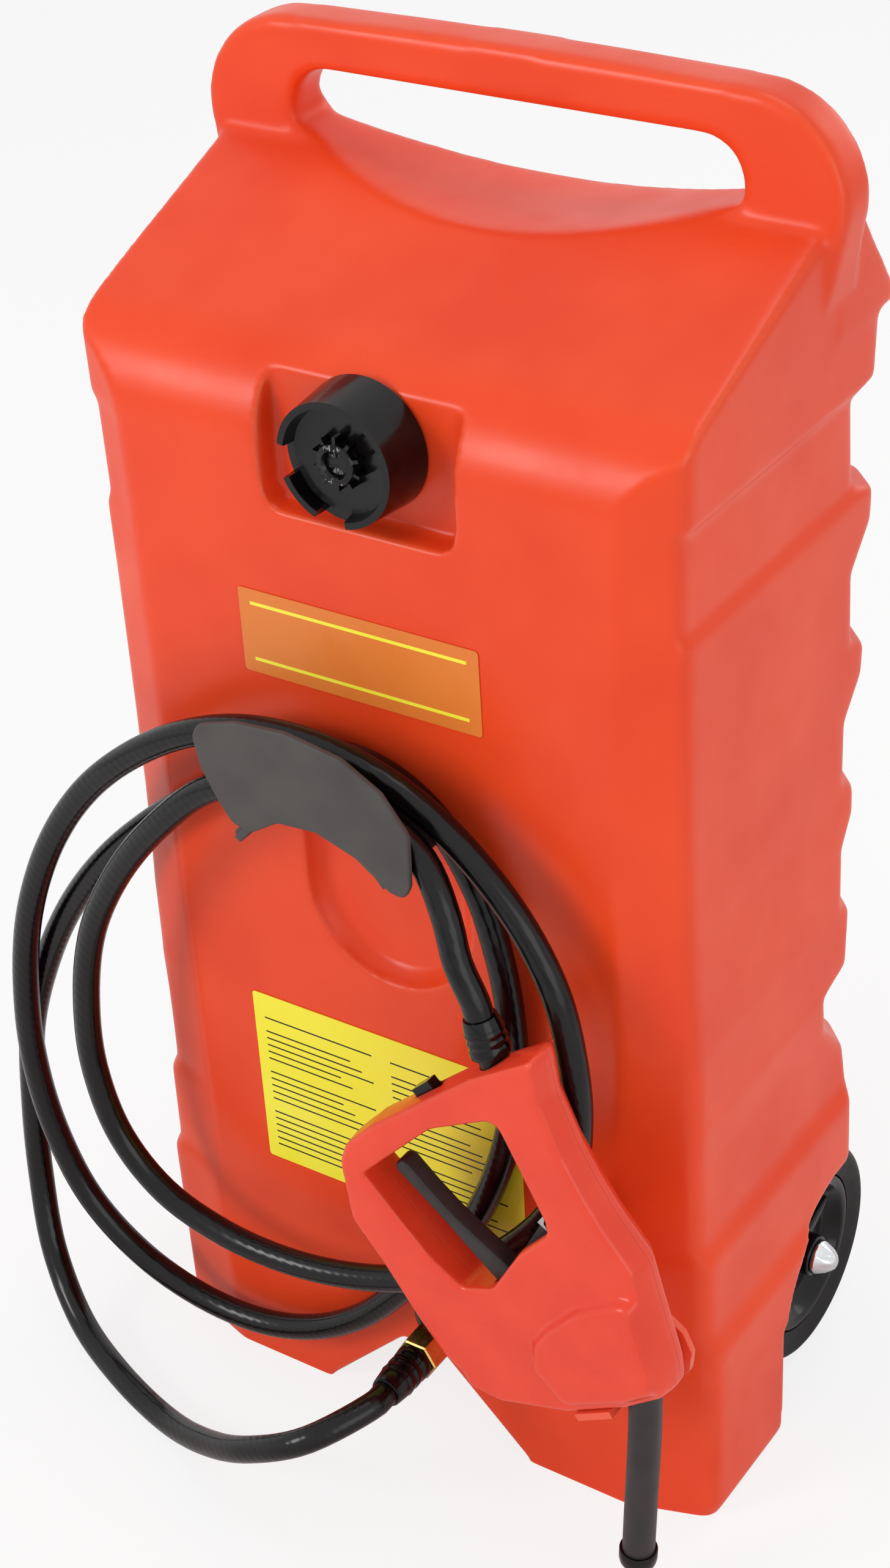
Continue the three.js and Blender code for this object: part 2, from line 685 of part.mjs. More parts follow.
// Tank shell with its neck, thread, axle webs and bores
function makeTank() {
  const neckTube = turnedSolid(rodProfile(neckRadius, -tankWall / 2, neckLength),
    { count: fineSides, place: capPlace });
  const neckRidge = solid(ridge(neckRadius - threadHalfTip, neckRadius + threadReach, neckLength / 4,
    threadTurns, threadPitch).applyMatrix4(capPlace));
  const neckHole = turnedSolid(rodProfile(neckBore, -tankWall - overrun, neckLength + overrun),
    { count: fineSides, place: capPlace });
  const webs = [-1, 1].map((hand) => {
    const start = hand > 0 ? wellWall - webInset : -wellWall;
    return slabSolid([
      [axleFromFront - webRadius, underside + tankWall / 2],
      ...arc(axleFromFront, wheelRadius, webRadius, 180, 360, 8),
      [axleFromFront + webRadius, underside + tankWall / 2],
    ], webInset, { axes: uprightSide, at: [start, 0, 0] });
  });
  const axleHole = turnedSolid(
    rodProfile(axleRadius + runningGap, -wellWall - overrun, wellWall + overrun),
    { place: alongX(0, axleFromFront, wheelRadius) });
  const outletHole = turnedSolid(rodProfile(outletShank + gap, -overrun, tankWall + overrun),
    { place: aimed([outletCentreX, 0, outletCentreZ], [0, 1, 0]) });
  const hollow = tankForm(tankWall);
  const outside = joined([tankForm(0), ...webs]).subtract(hollow);
  return cut(joined([outside, neckTube, neckRidge]), [
    neckHole, axleHole, outletHole,
    ...[...hangerScrewPlaces, ...holsterScrewPlaces].map(([x, z]) => screwHole(x, z)),
  ]);
}
node("tank_shell", makeTank(), tankRed);

// Screw cap: neck side at zero height, front at the cap's length
const capBack = 1.5;          // above the pad
const capInside = neckLength + gap + capSealThickness + gap;
const capFaceTop = capInside + capFace;
const capLip = 2;
const capFirstNotch = 187;    // degrees
const capNotchStep = 75;      // degrees
const innerThreadTurns = 0.8;
function makeCap() {
  const shell = turnedSolid([
    [capBore, capBack], [capRadius, capBack], [capFrontRadius, capLength], [capFrontRadius - capRim, capLength],
    [capFrontRadius - capRim - capLip, capFaceTop], [0, capFaceTop], [0, capInside], [capBore, capInside],
    [capBore, capBack],
  ], { count: fineSides });
  const grips = Array.from({ length: capNotches }, (_, i) => {
    const middle = capNotchStep * i + capFirstNotch;
    const outline = [
      [0, 0], ...arc(0, 0, capRadius * 2, middle - capNotchAngle / 2, middle + capNotchAngle / 2, 4),
    ];
    return slabSolid(outline, capNotchDepth + overrun, { axes: basis([1, 0, 0], [0, 0, -1], [0, 1, 0]) })
      .translate([0, capLength - capNotchDepth, 0])
      .subtract(turnedSolid(rodProfile(capFrontRadius - capRim - capLip, 0, capLength + overrun), { count: fineSides }));
  });
  const inner = solid(ridge(capBore + threadHalfTip, capBore - threadReach, neckLength / 4 + threadPitch / 2,
    innerThreadTurns, threadPitch));
  const raised = cut(shell, grips).add(inner);
  return geometryOf(raised).applyMatrix4(capPlace);
}
node("cap_body", makeCap(), black);

function makeCapHub() {
  const top = capFaceTop + gap;
  const core = hubRadius * 0.8;
  const edge = hubHeight / 4;
  const middle = turnedSolid([
    [0, top], [core, top], [core, top + hubHeight - edge], [core - edge, top + hubHeight],
    [0, top + hubHeight],
  ]);
  const ribHalf = hubRadius / 16;
  const rib = (angle) => slabSolid([[-ribHalf, 0], [ribHalf, 0], [ribHalf, hubHeight - edge], [-ribHalf, hubHeight - edge]], hubRadius,
    { axes: basis([1, 0, 0], [0, 1, 0], [0, 0, 1]), at: [0, top, 0] }).rotate([0, angle, 0]);
  const ribs = Array.from({ length: hubRibs }, (_, i) => rib((360 * i) / hubRibs));
  return geometryOf(joined([middle, ...ribs])).applyMatrix4(capPlace);
}
node("cap_hub", makeCapHub(), black);
node("cap_seal", turned(pipeProfile(neckRadius + threadReach, neckBore, neckLength + gap,
  neckLength + gap + capSealThickness), { count: fineSides, place: capPlace }), softBlack);

// Stickers on the front
for (const [name, sticker, finish] of [
  ["front_sticker", frontSticker, orangeFilm], ["lower_sticker", lowerSticker, yellowFilm],
]) {
  const halfWidth = sticker.width / 2;
  const halfHeight = sticker.height / 2;
  node(name, slab([
    [sticker.x - halfWidth, sticker.z - halfHeight], [sticker.x + halfWidth, sticker.z - halfHeight],
    [sticker.x + halfWidth, sticker.z + halfHeight], [sticker.x - halfWidth, sticker.z + halfHeight],
  ], stickerThickness, { at: [0, -gap, 0] }), finish);
}

// A round-headed screw whose head rests on a face, pointing into the tank
const screw = (x, y, z) => turnedSolid([
  [0, screwDepth - y], [screwShank, screwDepth - y], [screwShank, 0], [screwHead, 0],
  [screwHead, -screwHeadHeight / 2], [screwHead / 2, -screwHeadHeight], [0, -screwHeadHeight],
], { count: screwSides, place: aimed([x, y, z], [0, 1, 0]) });

// Hose hanger: flange on the tank, saddle and crescent front plate, one moulding
const hangerPlateShares = [
  [0, 0.759], [0.027, 0.862], [0.218, 0.966], [0.449, 1], [0.707, 0.931], [0.884, 0.759], [1, 0.494],
  [0.993, 0.103], [0.966, 0], [0.898, 0.011], [0.748, 0.195], [0.565, 0.299], [0.381, 0.276],
  [0.245, 0.126], [0.156, 0.161], [0.095, 0.310], [0.027, 0.529],
];
function makeHanger() {
  const outline = rounded(hangerPlateShares.map(([u, v]) => [
    hangerPlateLeft + hangerPlateWidth * u, hangerPlateBottom + hangerPlateHeight * v]).reverse(),
  hangerPlate + hangerPlate);
  const plate = slabSolid(outline, hangerPlate, { bevel: hangerPlate / 4, at: [0, -saddleReach, 0] });
  const first = 90 - saddleHalfAngle;
  const last = 90 + saddleHalfAngle;
  const band = (inner, outer) => [
    ...arc(hangerX, hangerZ, outer, first, last, 12), ...arc(hangerX, hangerZ, inner, last, first, 12),
  ];
  const saddle = slabSolid(band(saddleRadius - saddleWall, saddleRadius), saddleReach + hangerPlate / 2,
    { at: [0, -gap, 0] });
  const flange = slabSolid(band(hangerFlangeInner, hangerFlangeOuter), hangerFlange, { at: [0, -gap, 0] });
  const holes = hangerScrewPlaces.map(([x, z]) => turnedSolid(
    rodProfile(screwShank + screwHoleGap, -overrun, overrun),
    { count: 12, place: aimed([x, -hangerFlange / 2, z], [0, 1, 0]) }));
  return cut(joined([plate, saddle, flange]), holes);
}
node("hose_hanger", makeHanger(), hangerGrey);
hangerScrewPlaces.forEach(([x, z], i) =>
  node(`hanger_screw_${i + 1}`, screw(x, -hangerFlange - gap - gap, z), steel));

// Rolling gear
node("axle", turned(rodProfile(axleRadius, -axleHalfLength, axleHalfLength),
  { place: alongX(0, axleFromFront, wheelRadius) }), steel);

for (const hand of [-1, 1]) {
  const side = hand < 0 ? "left" : "right";
  const place = aimed([hand * tyreInner, axleFromFront, wheelRadius], [hand, 0, 0]);
  const tread = tyreWidth / 5;
  node(`${side}_tyre`, turned([
    [rimRadius, tread / 2], [wheelRadius - tread, 0], [wheelRadius - tread / 3, tread / 2],
    [wheelRadius, tread + tread / 2], [wheelRadius, tyreWidth - tread - tread / 2],
    [wheelRadius - tread / 3, tyreWidth - tread / 2], [wheelRadius - tread, tyreWidth],
    [rimRadius, tyreWidth - tread / 2], [rimRadius, tread / 2],
  ], { count: fineSides, place }), softBlack);

  const rimOuter = rimRadius * Math.cos(Math.PI / fineSides) - gap;
  const rimInner = rimRadius - tread;
  const bossStart = wellWall + washerThickness + gap + gap - tyreInner + gap;
  const bossEnd = tyreWidth + gap * 8;
  const webFront = tyreWidth * 0.62;
  const webBack = webFront - tread;
  const boreRadius = (bushRadius + gap) / Math.cos(Math.PI / hubSides);
  const web = turnedSolid([
    [boreRadius, bossStart], [hubBoss, bossStart], [hubBoss, webBack - tread], [rimInner - tread, webBack],
    [rimInner, tread], [rimOuter, tread / 2], [rimOuter, tyreWidth - tread / 2],
    [rimInner, tyreWidth - tread], [rimInner - tread, webFront], [hubBoss, webFront], [hubBoss, bossEnd],
    [boreRadius, bossEnd], [boreRadius, bossStart],
  ], { count: hubSides });
  const spoke = (i) => slabSolid([
    [-tread / 2, hubBoss - 1], [tread / 2, hubBoss - 1], [tread / 3, rimInner], [-tread / 3, rimInner],
  ], tread, { axes: basis([1, 0, 0], [0, 0, -1], [0, 1, 0]), at: [0, webFront - tread / 2, 0] })
    .rotate([0, (360 * i) / spokes, 0]);
  const wheel = joined([web, ...Array.from({ length: spokes }, (_, i) => spoke(i))]);
  node(`${side}_hub`, geometryOf(wheel).applyMatrix4(place), black);
  node(`${side}_bush`, turned(pipeProfile(bushRadius, axleRadius + runningGap, bossStart, bossEnd),
    { place }), whitePlastic);
  node(`${side}_washer`, turned(pipeProfile(washerRadius, axleRadius + gap,
    bossStart - gap - washerThickness, bossStart - gap), { place }), steel);
  const capStart = bossEnd + gap;
  const axleEnd = axleHalfLength - tyreInner;
  node(`${side}_push_cap`, turned([
    [axleRadius + gap, capStart], [pushCapRadius, capStart], [pushCapRadius, capStart + pushCapHeight / 3],
    [pushCapRadius * 0.8, axleEnd + pushCapHeight * 0.6], [pushCapRadius * 0.4, axleEnd + pushCapHeight],
    [0, axleEnd + pushCapHeight], [0, axleEnd + gap], [axleRadius + gap, axleEnd + gap],
    [axleRadius + gap, capStart],
  ], { place }), chrome);
}

// Outlet in the front wall: height runs to the front, from the tank's face
const outletPlace = alongFront(outletCentreX, 0, outletCentreZ);
const outletFront = gap + outletFlange + outletNeck;
node("outlet_fitting", turned([
  [outletBore, -tankWall - outletShankLength], [outletShank, -tankWall - outletShankLength],
  [outletShank, gap], [outletFlangeRadius, gap], [outletFlangeRadius, gap + outletFlange / 2],
  [outletFlangeRadius * 0.8, gap + outletFlange], [outletNeckRadius, gap + outletFlange],
  [outletNeckRadius, outletFront], [outletBore, outletFront],
  [outletBore, -tankWall - outletShankLength],
], { place: outletPlace }), black);
node("outlet_nut", slab(circle(outletCentreX, outletCentreZ, nutRadius, 6), nutThickness, {
  holes: [circle(outletCentreX, outletCentreZ, outletShank + gap, sides)],
  at: [0, tankWall + gap + nutThickness, 0],
}), black);
const strainerStart = -tankWall - outletShankLength - gap;
node("outlet_strainer", turned([
  [strainerRadius - strainerWall, strainerStart], [strainerRadius, strainerStart],
  [strainerRadius, strainerStart - strainerLength], [0, strainerStart - strainerLength],
  [0, strainerStart - strainerLength + strainerWall],
  [strainerRadius - strainerWall, strainerStart - strainerLength + strainerWall],
  [strainerRadius - strainerWall, strainerStart],
], { place: outletPlace }), whitePlastic);
const brassStart = outletFront + gap;
const brassEnd = brassStart + brassLength;
node("brass_coupling", slab(circle(outletCentreX, outletCentreZ, brassRadius, 6), brassLength, {
  holes: [circle(outletCentreX, outletCentreZ, outletBore, sides)],
  at: [0, -brassStart, 0],
}), brass);
const cuffProfile = (from, length) => [
  [outletBore, from], [cuffRadius, from], [cuffRadius, from + length / 3],
  [cuffEndRadius, from + length], [outletBore, from + length], [outletBore, from],
];
const outletCuffStart = brassEnd + gap;
node("hose_outlet_cuff", turned(cuffProfile(outletCuffStart, outletCuffLength), { place: outletPlace }), black);

// Nozzle: places on it are shares of its width and height
const onNozzle = ([u, v]) => [nozzleLeft + nozzleWidth * u, nozzleBottom + nozzleHeight * v];
const nozzleShares = [
  [0.613, 1], [0.426, 0.895], [0.104, 0.662], [0.022, 0.585], [0, 0.531], [0.022, 0.371], [0.109, 0.280],
  [0.213, 0.153], [0.291, 0.069], [0.348, 0.040], [0.365, 0.007], [0.470, 0], nozzleFoot,
  nozzleHeel, [0.978, 0.215], [0.972, 0.281], [0.948, 0.356], [0.922, 0.437], [0.895, 0.527],
  [0.811, 0.615], [0.757, 0.684], [0.702, 0.767], [0.641, 0.891], [0.625, 0.985],
];
const gripShares = [
  [0.070, 0.513], [0.217, 0.644], [0.296, 0.713], [0.496, 0.804], [0.630, 0.578], [0.635, 0.542],
  [0.543, 0.455], [0.457, 0.327], [0.361, 0.295], [0.261, 0.349], [0.091, 0.498],
];
const bulgeShares = [
  [0.583, 0.169], [0.683, 0.090], [0.870, 0.174], [0.952, 0.228], [0.945, 0.290], [0.918, 0.375],
  [0.892, 0.462], [0.843, 0.453], [0.726, 0.387], [0.626, 0.291], [0.587, 0.235],
];
const bulgeScrew = 3;         // the index of the screw under the bulge
const shellScrewShares = [[0.578, 0.905], [0.187, 0.287], [0.352, 0.131], [0.790, 0.270], [0.675, 0.620]];
const nozzlePoints = nozzleShares.map(onNozzle);
const gripPoints = gripShares.map(onNozzle);
const bulgePoints = bulgeShares.map(onNozzle);
const nozzleFront = nozzleMiddle - nozzleHalfThickness;
const nozzleBack = nozzleMiddle + nozzleHalfThickness;

// Trigger, a bell crank: blade to the finger end, short arm to the pump rod
const pivot = onNozzle([0.509, 0.327]);
const bladeEnd = onNozzle([0.187, 0.556]);
const armEnd = onNozzle([0.626, 0.553]);
const swung = ([x, z], degrees) => {
  const turn = new THREE.Vector2(x, z).rotateAround(new THREE.Vector2(...pivot), -radians(degrees));
  return [turn.x, turn.y];
};
const armLimit = swung(armEnd, triggerSwing);
const stroke = new THREE.Vector2(armLimit[0] - armEnd[0], armLimit[1] - armEnd[1]);
const strokeDirection = stroke.clone().normalize();
const pumpAim = [strokeDirection.x, 0, strokeDirection.y];
const pumpPlace = aimed([armEnd[0], nozzleMiddle, armEnd[1]], pumpAim);

function triggerSweep() {
  const depth = 2 * (triggerHalfThickness + bladeSlotGap);
  const at = [0, nozzleMiddle + depth / 2, 0];
  const over = (end, tip) => wasm.Manifold.hull([0, triggerSwing / 2, triggerSwing].map((angle) =>
    slabSolid(bar(pivot, swung(end, angle), triggerHub + bladeSlotGap, tip), depth, { at })));
  return over(bladeEnd, triggerTip + bladeSlotGap).add(over(armEnd, triggerArm + armSlotGap));
}

// Latch: a slider inside the upper bar, with a thumb tab outside and a catch towards the blade
const latchFrom = onNozzle([0.161, 0.650]);
const latchTo = onNozzle([0.309, 0.767]);
const latchHeading = new THREE.Vector2(latchTo[0] - latchFrom[0], latchTo[1] - latchFrom[1]).normalize();
const latchOut = new THREE.Vector2(-latchHeading.y, latchHeading.x);
const latchTabFoot = [latchTo[0] - latchHeading.x * latchTravel, latchTo[1] - latchHeading.y * latchTravel];
const latchBox = (foot, width, from, to) => [[-width / 2, from], [width / 2, from], [width / 2, to], [-width / 2, to]]
  .map(([u, v]) => [
    foot[0] + latchHeading.x * u + latchOut.x * v, foot[1] + latchHeading.y * u + latchOut.y * v]);
const slidPlace = (foot, travel) => [foot[0] + latchHeading.x * travel, foot[1] + latchHeading.y * travel];
function latchSlots() {
  const depth = 2 * (latchHalfThickness + latchSlotGap);
  const play = 2 * latchSlotGap;
  const at = [0, nozzleMiddle + depth / 2, 0];
  const tabMiddle = slidPlace(latchTabFoot, latchTravel / 2);
  const catchMiddle = slidPlace(latchFrom, latchTravel / 2);
  return [
    slabSolid(latchBox(tabMiddle, latchTabWidth + latchTravel + play, 0, latchTab + overrun), depth, { at }),
    slabSolid(latchBox(catchMiddle, latchCatchWidth + latchTravel + play, -latchCatch - play, 0), depth, { at }),
  ];
}

// Spout: leaves the slanted underside, then hangs nearly upright
const spoutRoot = onNozzle([0.874, 0.235]);
const spoutBend = onNozzle([0.867, 0.033]);
const spoutTip = onNozzle([0.835, -0.371]);
const spoutAxis = new THREE.Vector2(spoutBend[0] - spoutRoot[0], spoutBend[1] - spoutRoot[1]).normalize();
const spoutPlace = aimed([spoutRoot[0], nozzleMiddle, spoutRoot[1]], [spoutAxis.x, 0, spoutAxis.y]);
const spoutHole = turnedSolid(rodProfile(clear(spoutRadius), -overrun, overrun * 9), { place: spoutPlace });

// Inlet at the top, leaning towards the tank's middle
const inletRoot = onNozzle([0.462, 0.915]);
const inletRadius = 9;
const inletAim = [-Math.sin(radians(inletLean)), 0, Math.cos(radians(inletLean))];
const inletPlace = aimed([inletRoot[0], nozzleMiddle, inletRoot[1]], inletAim);
const inletHole = turnedSolid(rodProfile(clear(inletRadius), -overrun * 3, overrun * 3),
  { place: inletPlace });

function makeShell(front) {
  const outer = front ? nozzleFront : nozzleMiddle + gap / 2;
  const depth = nozzleHalfThickness - gap / 2;
  const skinBack = outer + depth;
  const grip = softSlab(gripPoints, 2 * nozzleHalfThickness, nozzleEdge, nozzleCorner,
    { opening: true, back: nozzleBack });
  const whole = softSlab(nozzlePoints, 2 * nozzleHalfThickness, nozzleEdge, nozzleCorner, { back: nozzleBack })
    .subtract(grip);
  const wide = nozzleWidth + nozzleLeft + overrun;
  const tall = nozzleBottom + nozzleHeight + overrun;
  const half = block(-overrun, wide, outer - overrun * (front ? 3 : 0), skinBack + overrun * (front ? 0 : 3),
    0, tall);
  const within = (points, distance) => rounded(inset(points, distance), nozzleCorner, 1);
  const hollow = slabSolid(within(nozzlePoints, nozzleWall), 2 * (nozzleHalfThickness - nozzleWall), {
    holes: [within(gripPoints, -nozzleWall)], at: [0, nozzleBack - nozzleWall, 0],
  });
  const bulgeDepth = pumpBulge + nozzleHalfThickness / 2;
  const bulgeBack = nozzleFront + nozzleHalfThickness / 2;
  const bulge = softSlab(bulgePoints, bulgeDepth, nozzleEdge, nozzleCorner, { back: bulgeBack });
  const bulgeHollow = slabSolid(within(bulgePoints, nozzleWall + gap), bulgeDepth - nozzleWall, {
    at: [0, bulgeBack, 0],
  });
  const body = (front ? whole.add(bulge) : whole).intersect(half);
  const emptied = cut(body, front ? [hollow, bulgeHollow] : [hollow]);
  const boss = (radius, from, to) => ([x, z]) => turnedSolid(rodProfile(radius, from, to),
    { count: 12, place: aimed([x, nozzleMiddle, z], [0, 1, 0]) });
  const places = shellScrewShares.map(onNozzle);
  const inner = nozzleHalfThickness - nozzleWall / 2;
  const bosses = places.map((place, i) => (front
    ? boss(shellBossRadius, -inner - (i === bulgeScrew ? pumpBulge : 0), -gap / 2)
    : boss(shellBossRadius, gap / 2, inner))(place));
  const holes = places.map(front
    ? boss(shellScrewRadius + gap, -nozzleHalfThickness + nozzleWall + 1, overrun)
    : boss(shellScrewRadius + gap, -overrun, nozzleHalfThickness + overrun));
  const recesses = front ? [] : places.map(boss(shellScrewHead + gap, nozzleHalfThickness - nozzleWall,
    nozzleHalfThickness + overrun));
  return cut(joined([emptied, ...bosses]), [
    ...holes, ...recesses, triggerSweep(), ...latchSlots(), spoutHole, inletHole,
  ]);
}
node("nozzle_front_shell", makeShell(true), pumpRed);
node("nozzle_back_shell", makeShell(false), pumpRed);

shellScrewShares.map(onNozzle).forEach(([x, z], i) => node(`shell_screw_${i + 1}`, turned([
  [0, nozzleHalfThickness - gap], [shellScrewHead, nozzleHalfThickness - gap],
  [shellScrewHead, nozzleHalfThickness - nozzleWall + gap + gap],
  [shellScrewRadius, nozzleHalfThickness - nozzleWall + gap + gap],
  [shellScrewRadius, nozzleWall + 2 - nozzleHalfThickness], [0, nozzleWall + 2 - nozzleHalfThickness],
], { count: screwSides, place: aimed([x, nozzleMiddle, z], [0, 1, 0]) }), steel));

const slabAcross = (outline, half, options = {}) => slabSolid(outline, half + half,
  { ...options, at: [0, nozzleMiddle + half, 0] });
function makeTrigger() {
  const blade = slabAcross(bar(pivot, bladeEnd, triggerHub, triggerTip), triggerHalfThickness,
    { bevel: triggerBevel });
  const hubArm = slabAcross(bar(pivot, armEnd, triggerHub, triggerArm), armHalfThickness);
  const pin = turnedSolid(rodProfile(pinRadius, -forkInner - forkWall, forkInner + forkWall),
    { count: 16, place: aimed([armEnd[0], nozzleMiddle, armEnd[1]], [0, 1, 0]) });
  const bore = turnedSolid(rodProfile(pinRadius + pinGap, -overrun * 3, overrun * 3),
    { count: 16, place: aimed([pivot[0], nozzleMiddle, pivot[1]], [0, 1, 0]) });
  const springSeat = turnedSolid(rodProfile(triggerHub - 2, armHalfThickness, triggerHalfThickness + overrun),
    { count: 16, place: aimed([pivot[0], nozzleMiddle, pivot[1]], [0, 1, 0]) });
  return cut(joined([blade, hubArm, pin]), [bore, springSeat]);
}
node("trigger", makeTrigger(), darkGrey);
const pinReach = nozzleHalfThickness - nozzleWall - gap;
node("trigger_pin", turned(rodProfile(pinRadius, -pinReach, pinReach),
  { count: 16, place: aimed([pivot[0], nozzleMiddle, pivot[1]], [0, 1, 0]) }), steel);

// Torsion spring beside the trigger's hub, wound round its pin
function makeSpring() {
  const radius = pinRadius + gap + springWire + springPlay;
  const start = armHalfThickness + springWire + gap;
  const pitch = (pinReach - start - springWire) / springTurns;
  const steps = springTurns * springSteps;
  const points = Array.from({ length: steps + 1 }, (_, i) => {
    const angle = (2 * Math.PI * i) / springSteps;
    return [pivot[0] + radius * Math.cos(angle), nozzleMiddle + start + (pitch * i) / springSteps,
      pivot[1] + radius * Math.sin(angle)];
  });
  return tube(points, springWire, 5, steps);
}
node("trigger_spring", makeSpring(), steel);

function makeLatch() {
  const slider = slabAcross(bar(latchFrom, slidPlace(latchTo, -latchTravel), latchRadius, latchRadius),
    latchHalfThickness);
  const tab = slabAcross(latchBox(latchTabFoot, latchTabWidth, 0, latchTab), latchHalfThickness);
  const catchNose = slabAcross(latchBox(latchFrom, latchCatchWidth, -latchCatch, 0), latchHalfThickness);
  return joined([slider, tab, catchNose]);
}
node("trigger_latch", makeLatch(), black);

// Pump: lengths run along the stroke from the arm's pin
node("pump_cylinder", turned([
  [cylinderBore, cylinderStart], [cylinderRadius, cylinderStart], [cylinderRadius, cylinderEnd],
  [rodRadius, cylinderEnd], [rodRadius, cylinderEnd - cylinderEndWall],
  [cylinderBore, cylinderEnd - cylinderEndWall], [cylinderBore, cylinderStart],
], { place: pumpPlace }), whitePlastic);
const grooveFrom = pistonStart + pistonLength * 0.3;
const grooveTo = pistonStart + pistonLength * 0.7;
node("piston", turned([
  [0, pistonStart], [pistonRadius, pistonStart], [pistonRadius, grooveFrom],
  [pistonRadius - grooveDepth, grooveFrom], [pistonRadius - grooveDepth, grooveTo],
  [pistonRadius, grooveTo], [pistonRadius, pistonStart + pistonLength], [0, pistonStart + pistonLength],
], { place: pumpPlace }), whitePlastic);
const sealGap = gap / 2;
node("piston_seal", turned(pipeProfile(pistonRadius + sealGap, pistonRadius - grooveDepth + sealGap,
  grooveFrom + sealGap, grooveTo - sealGap), { place: pumpPlace }), softBlack);

function makeRod() {
  const forkEnd = forkBridge + forkWall;
  const across = basis([strokeDirection.x, 0, strokeDirection.y], [-strokeDirection.y, 0, strokeDirection.x],
    [0, -1, 0]);
  const origin = [armEnd[0], nozzleMiddle, armEnd[1]];
  const outline = [
    [forkStart, -forkHalfHeight], [forkEnd, -forkHalfHeight], [forkEnd, forkHalfHeight],
    [forkStart, forkHalfHeight],
  ];
  const width = 2 * (forkInner + forkWall);
  const whole = slabSolid(outline, width, { axes: across, at: [origin[0], origin[1] + width / 2, origin[2]] });
  const slot = slabSolid([
    [forkStart - overrun, -forkHalfHeight - overrun], [forkBridge, -forkHalfHeight - overrun],
    [forkBridge, forkHalfHeight + overrun], [forkStart - overrun, forkHalfHeight + overrun],
  ], 2 * forkInner, { axes: across, at: [origin[0], origin[1] + forkInner, origin[2]] });
  const eye = slabSolid(bar([0, -forkEyePlay], [0, forkEyePlay], pinRadius + forkEyeGap, pinRadius + forkEyeGap), width + overrun, {
    axes: across, at: [origin[0], origin[1] + (width + overrun) / 2, origin[2]],
  });
  const rod = turnedSolid(rodProfile(rodRadius, forkEnd - 1, pistonStart - gap), { place: pumpPlace });
  return cut(whole.add(rod), [slot, eye]);
}
node("piston_rod", makeRod(), steel);

const outletX = spoutRoot[0];
const outletHousingBottom = spoutRoot[1] + gap + gap + spoutRadius * Math.abs(spoutAxis.x);
const outletHousingTop = outletHousingBottom + outletHousingLength;
const outletAxis = aimed([outletX, nozzleMiddle, 0], [0, 0, 1]);
node("outlet_housing", turned([
  [outletHousingBore, outletHousingBottom], [outletHousingRadius, outletHousingBottom],
  [outletHousingRadius, outletHousingTop], [outletSeatBore, outletHousingTop],
  [outletHousingBore, outletHousingTop - outletSeatDepth], [outletHousingBore, outletHousingBottom],
], { place: outletAxis }), whitePlastic);
node("outlet_valve", new THREE.SphereGeometry(valveRadius, valveSides, valveSides * 0.75)
  .translate(outletX, nozzleMiddle, outletHousingTop - valveDrop), steel);

// Feed tube from the inlet to the pump
const feedStart = inletStub + overrun;
const belowInlet = (along) => [inletRoot[0] - inletAim[0] * along, inletRoot[1] - inletAim[2] * along];
const feedPoints = [
  belowInlet(feedStart), belowInlet(feedStart + overrun),
  onNozzle([0.615, 0.785]), onNozzle([0.743, 0.625]), onNozzle([0.820, 0.549]), onNozzle([0.8659, 0.4988]),
];
function makeFeed() {
  const points = feedPoints.map(([x, z]) => [x, nozzleMiddle, z]);
  const outer = solid(tube(points, inletTubeRadius, 8, 10));
  const ahead = (a, b) => a.map((value, i) => value + (value - b[i]) / 8);
  const [last, next] = points.toReversed();
  const longer = [ahead(points[0], points[1]), ...points, ahead(last, next)];
  return outer.subtract(solid(tube(longer, inletTubeBore, 6, 12)));
}
node("feed_tube", makeFeed(), softBlack);

node("inlet_fitting", turned([
  [outletBore, -feedStart + gap], [inletRadius, -feedStart + gap], [inletRadius, inletStub],
  [outletBore, inletStub], [outletBore, -feedStart + gap],
], { place: inletPlace }), black);
node("hose_inlet_cuff", turned(cuffProfile(inletStub + gap, inletCuffLength), { place: inletPlace }), black);

// Spout with its collar inside the shells
node("spout_collar", turned(pipeProfile(collarRadius, clear(spoutRadius), 0, collarLength),
  { place: spoutPlace }), black);
const spoutInside = collarLength;
const spoutStart = [spoutRoot[0] - spoutAxis.x * gap, spoutRoot[1] - spoutAxis.y * gap];
const spoutLine = [
  spoutStart, [spoutRoot[0] + spoutAxis.x * spoutInside, spoutRoot[1] + spoutAxis.y * spoutInside], spoutBend,
  [(spoutBend[0] + spoutTip[0]) / 2, (spoutBend[1] + spoutTip[1]) / 2], spoutTip,
];
function pipeAlong(line, outer, inner, steps) {
  const points = line.map(([x, z]) => [x, nozzleMiddle, z]);
  const reach = (a, b) => a.map((value, i) => value + (value - b[i]) / 4);
  const last = points.length - 1;
  const longer = [reach(points[0], points[1]), ...points, reach(points[last], points[last - 1])];
  return solid(tube(points, outer, spoutSides, steps))
    .subtract(solid(tube(longer, inner, spoutSides, steps + 2)));
}
node("spout", pipeAlong(spoutLine, spoutRadius, spoutBore, 8), darkGrey);
const tipHeading = new THREE.Vector2(spoutTip[0] - spoutLine[3][0], spoutTip[1] - spoutLine[3][1]).normalize();
node("spout_tip_ring", turned([
  [clear(spoutRadius), -spoutTipLength], [spoutTipRadius, -spoutTipLength], [spoutTipRadius, spoutTipLip],
  [spoutBore, spoutTipLip], [spoutBore, gap], [clear(spoutRadius), gap], [clear(spoutRadius), -spoutTipLength],
], { place: aimed([spoutTip[0], nozzleMiddle, spoutTip[1]], [tipHeading.x, 0, tipHeading.y]) }), black);

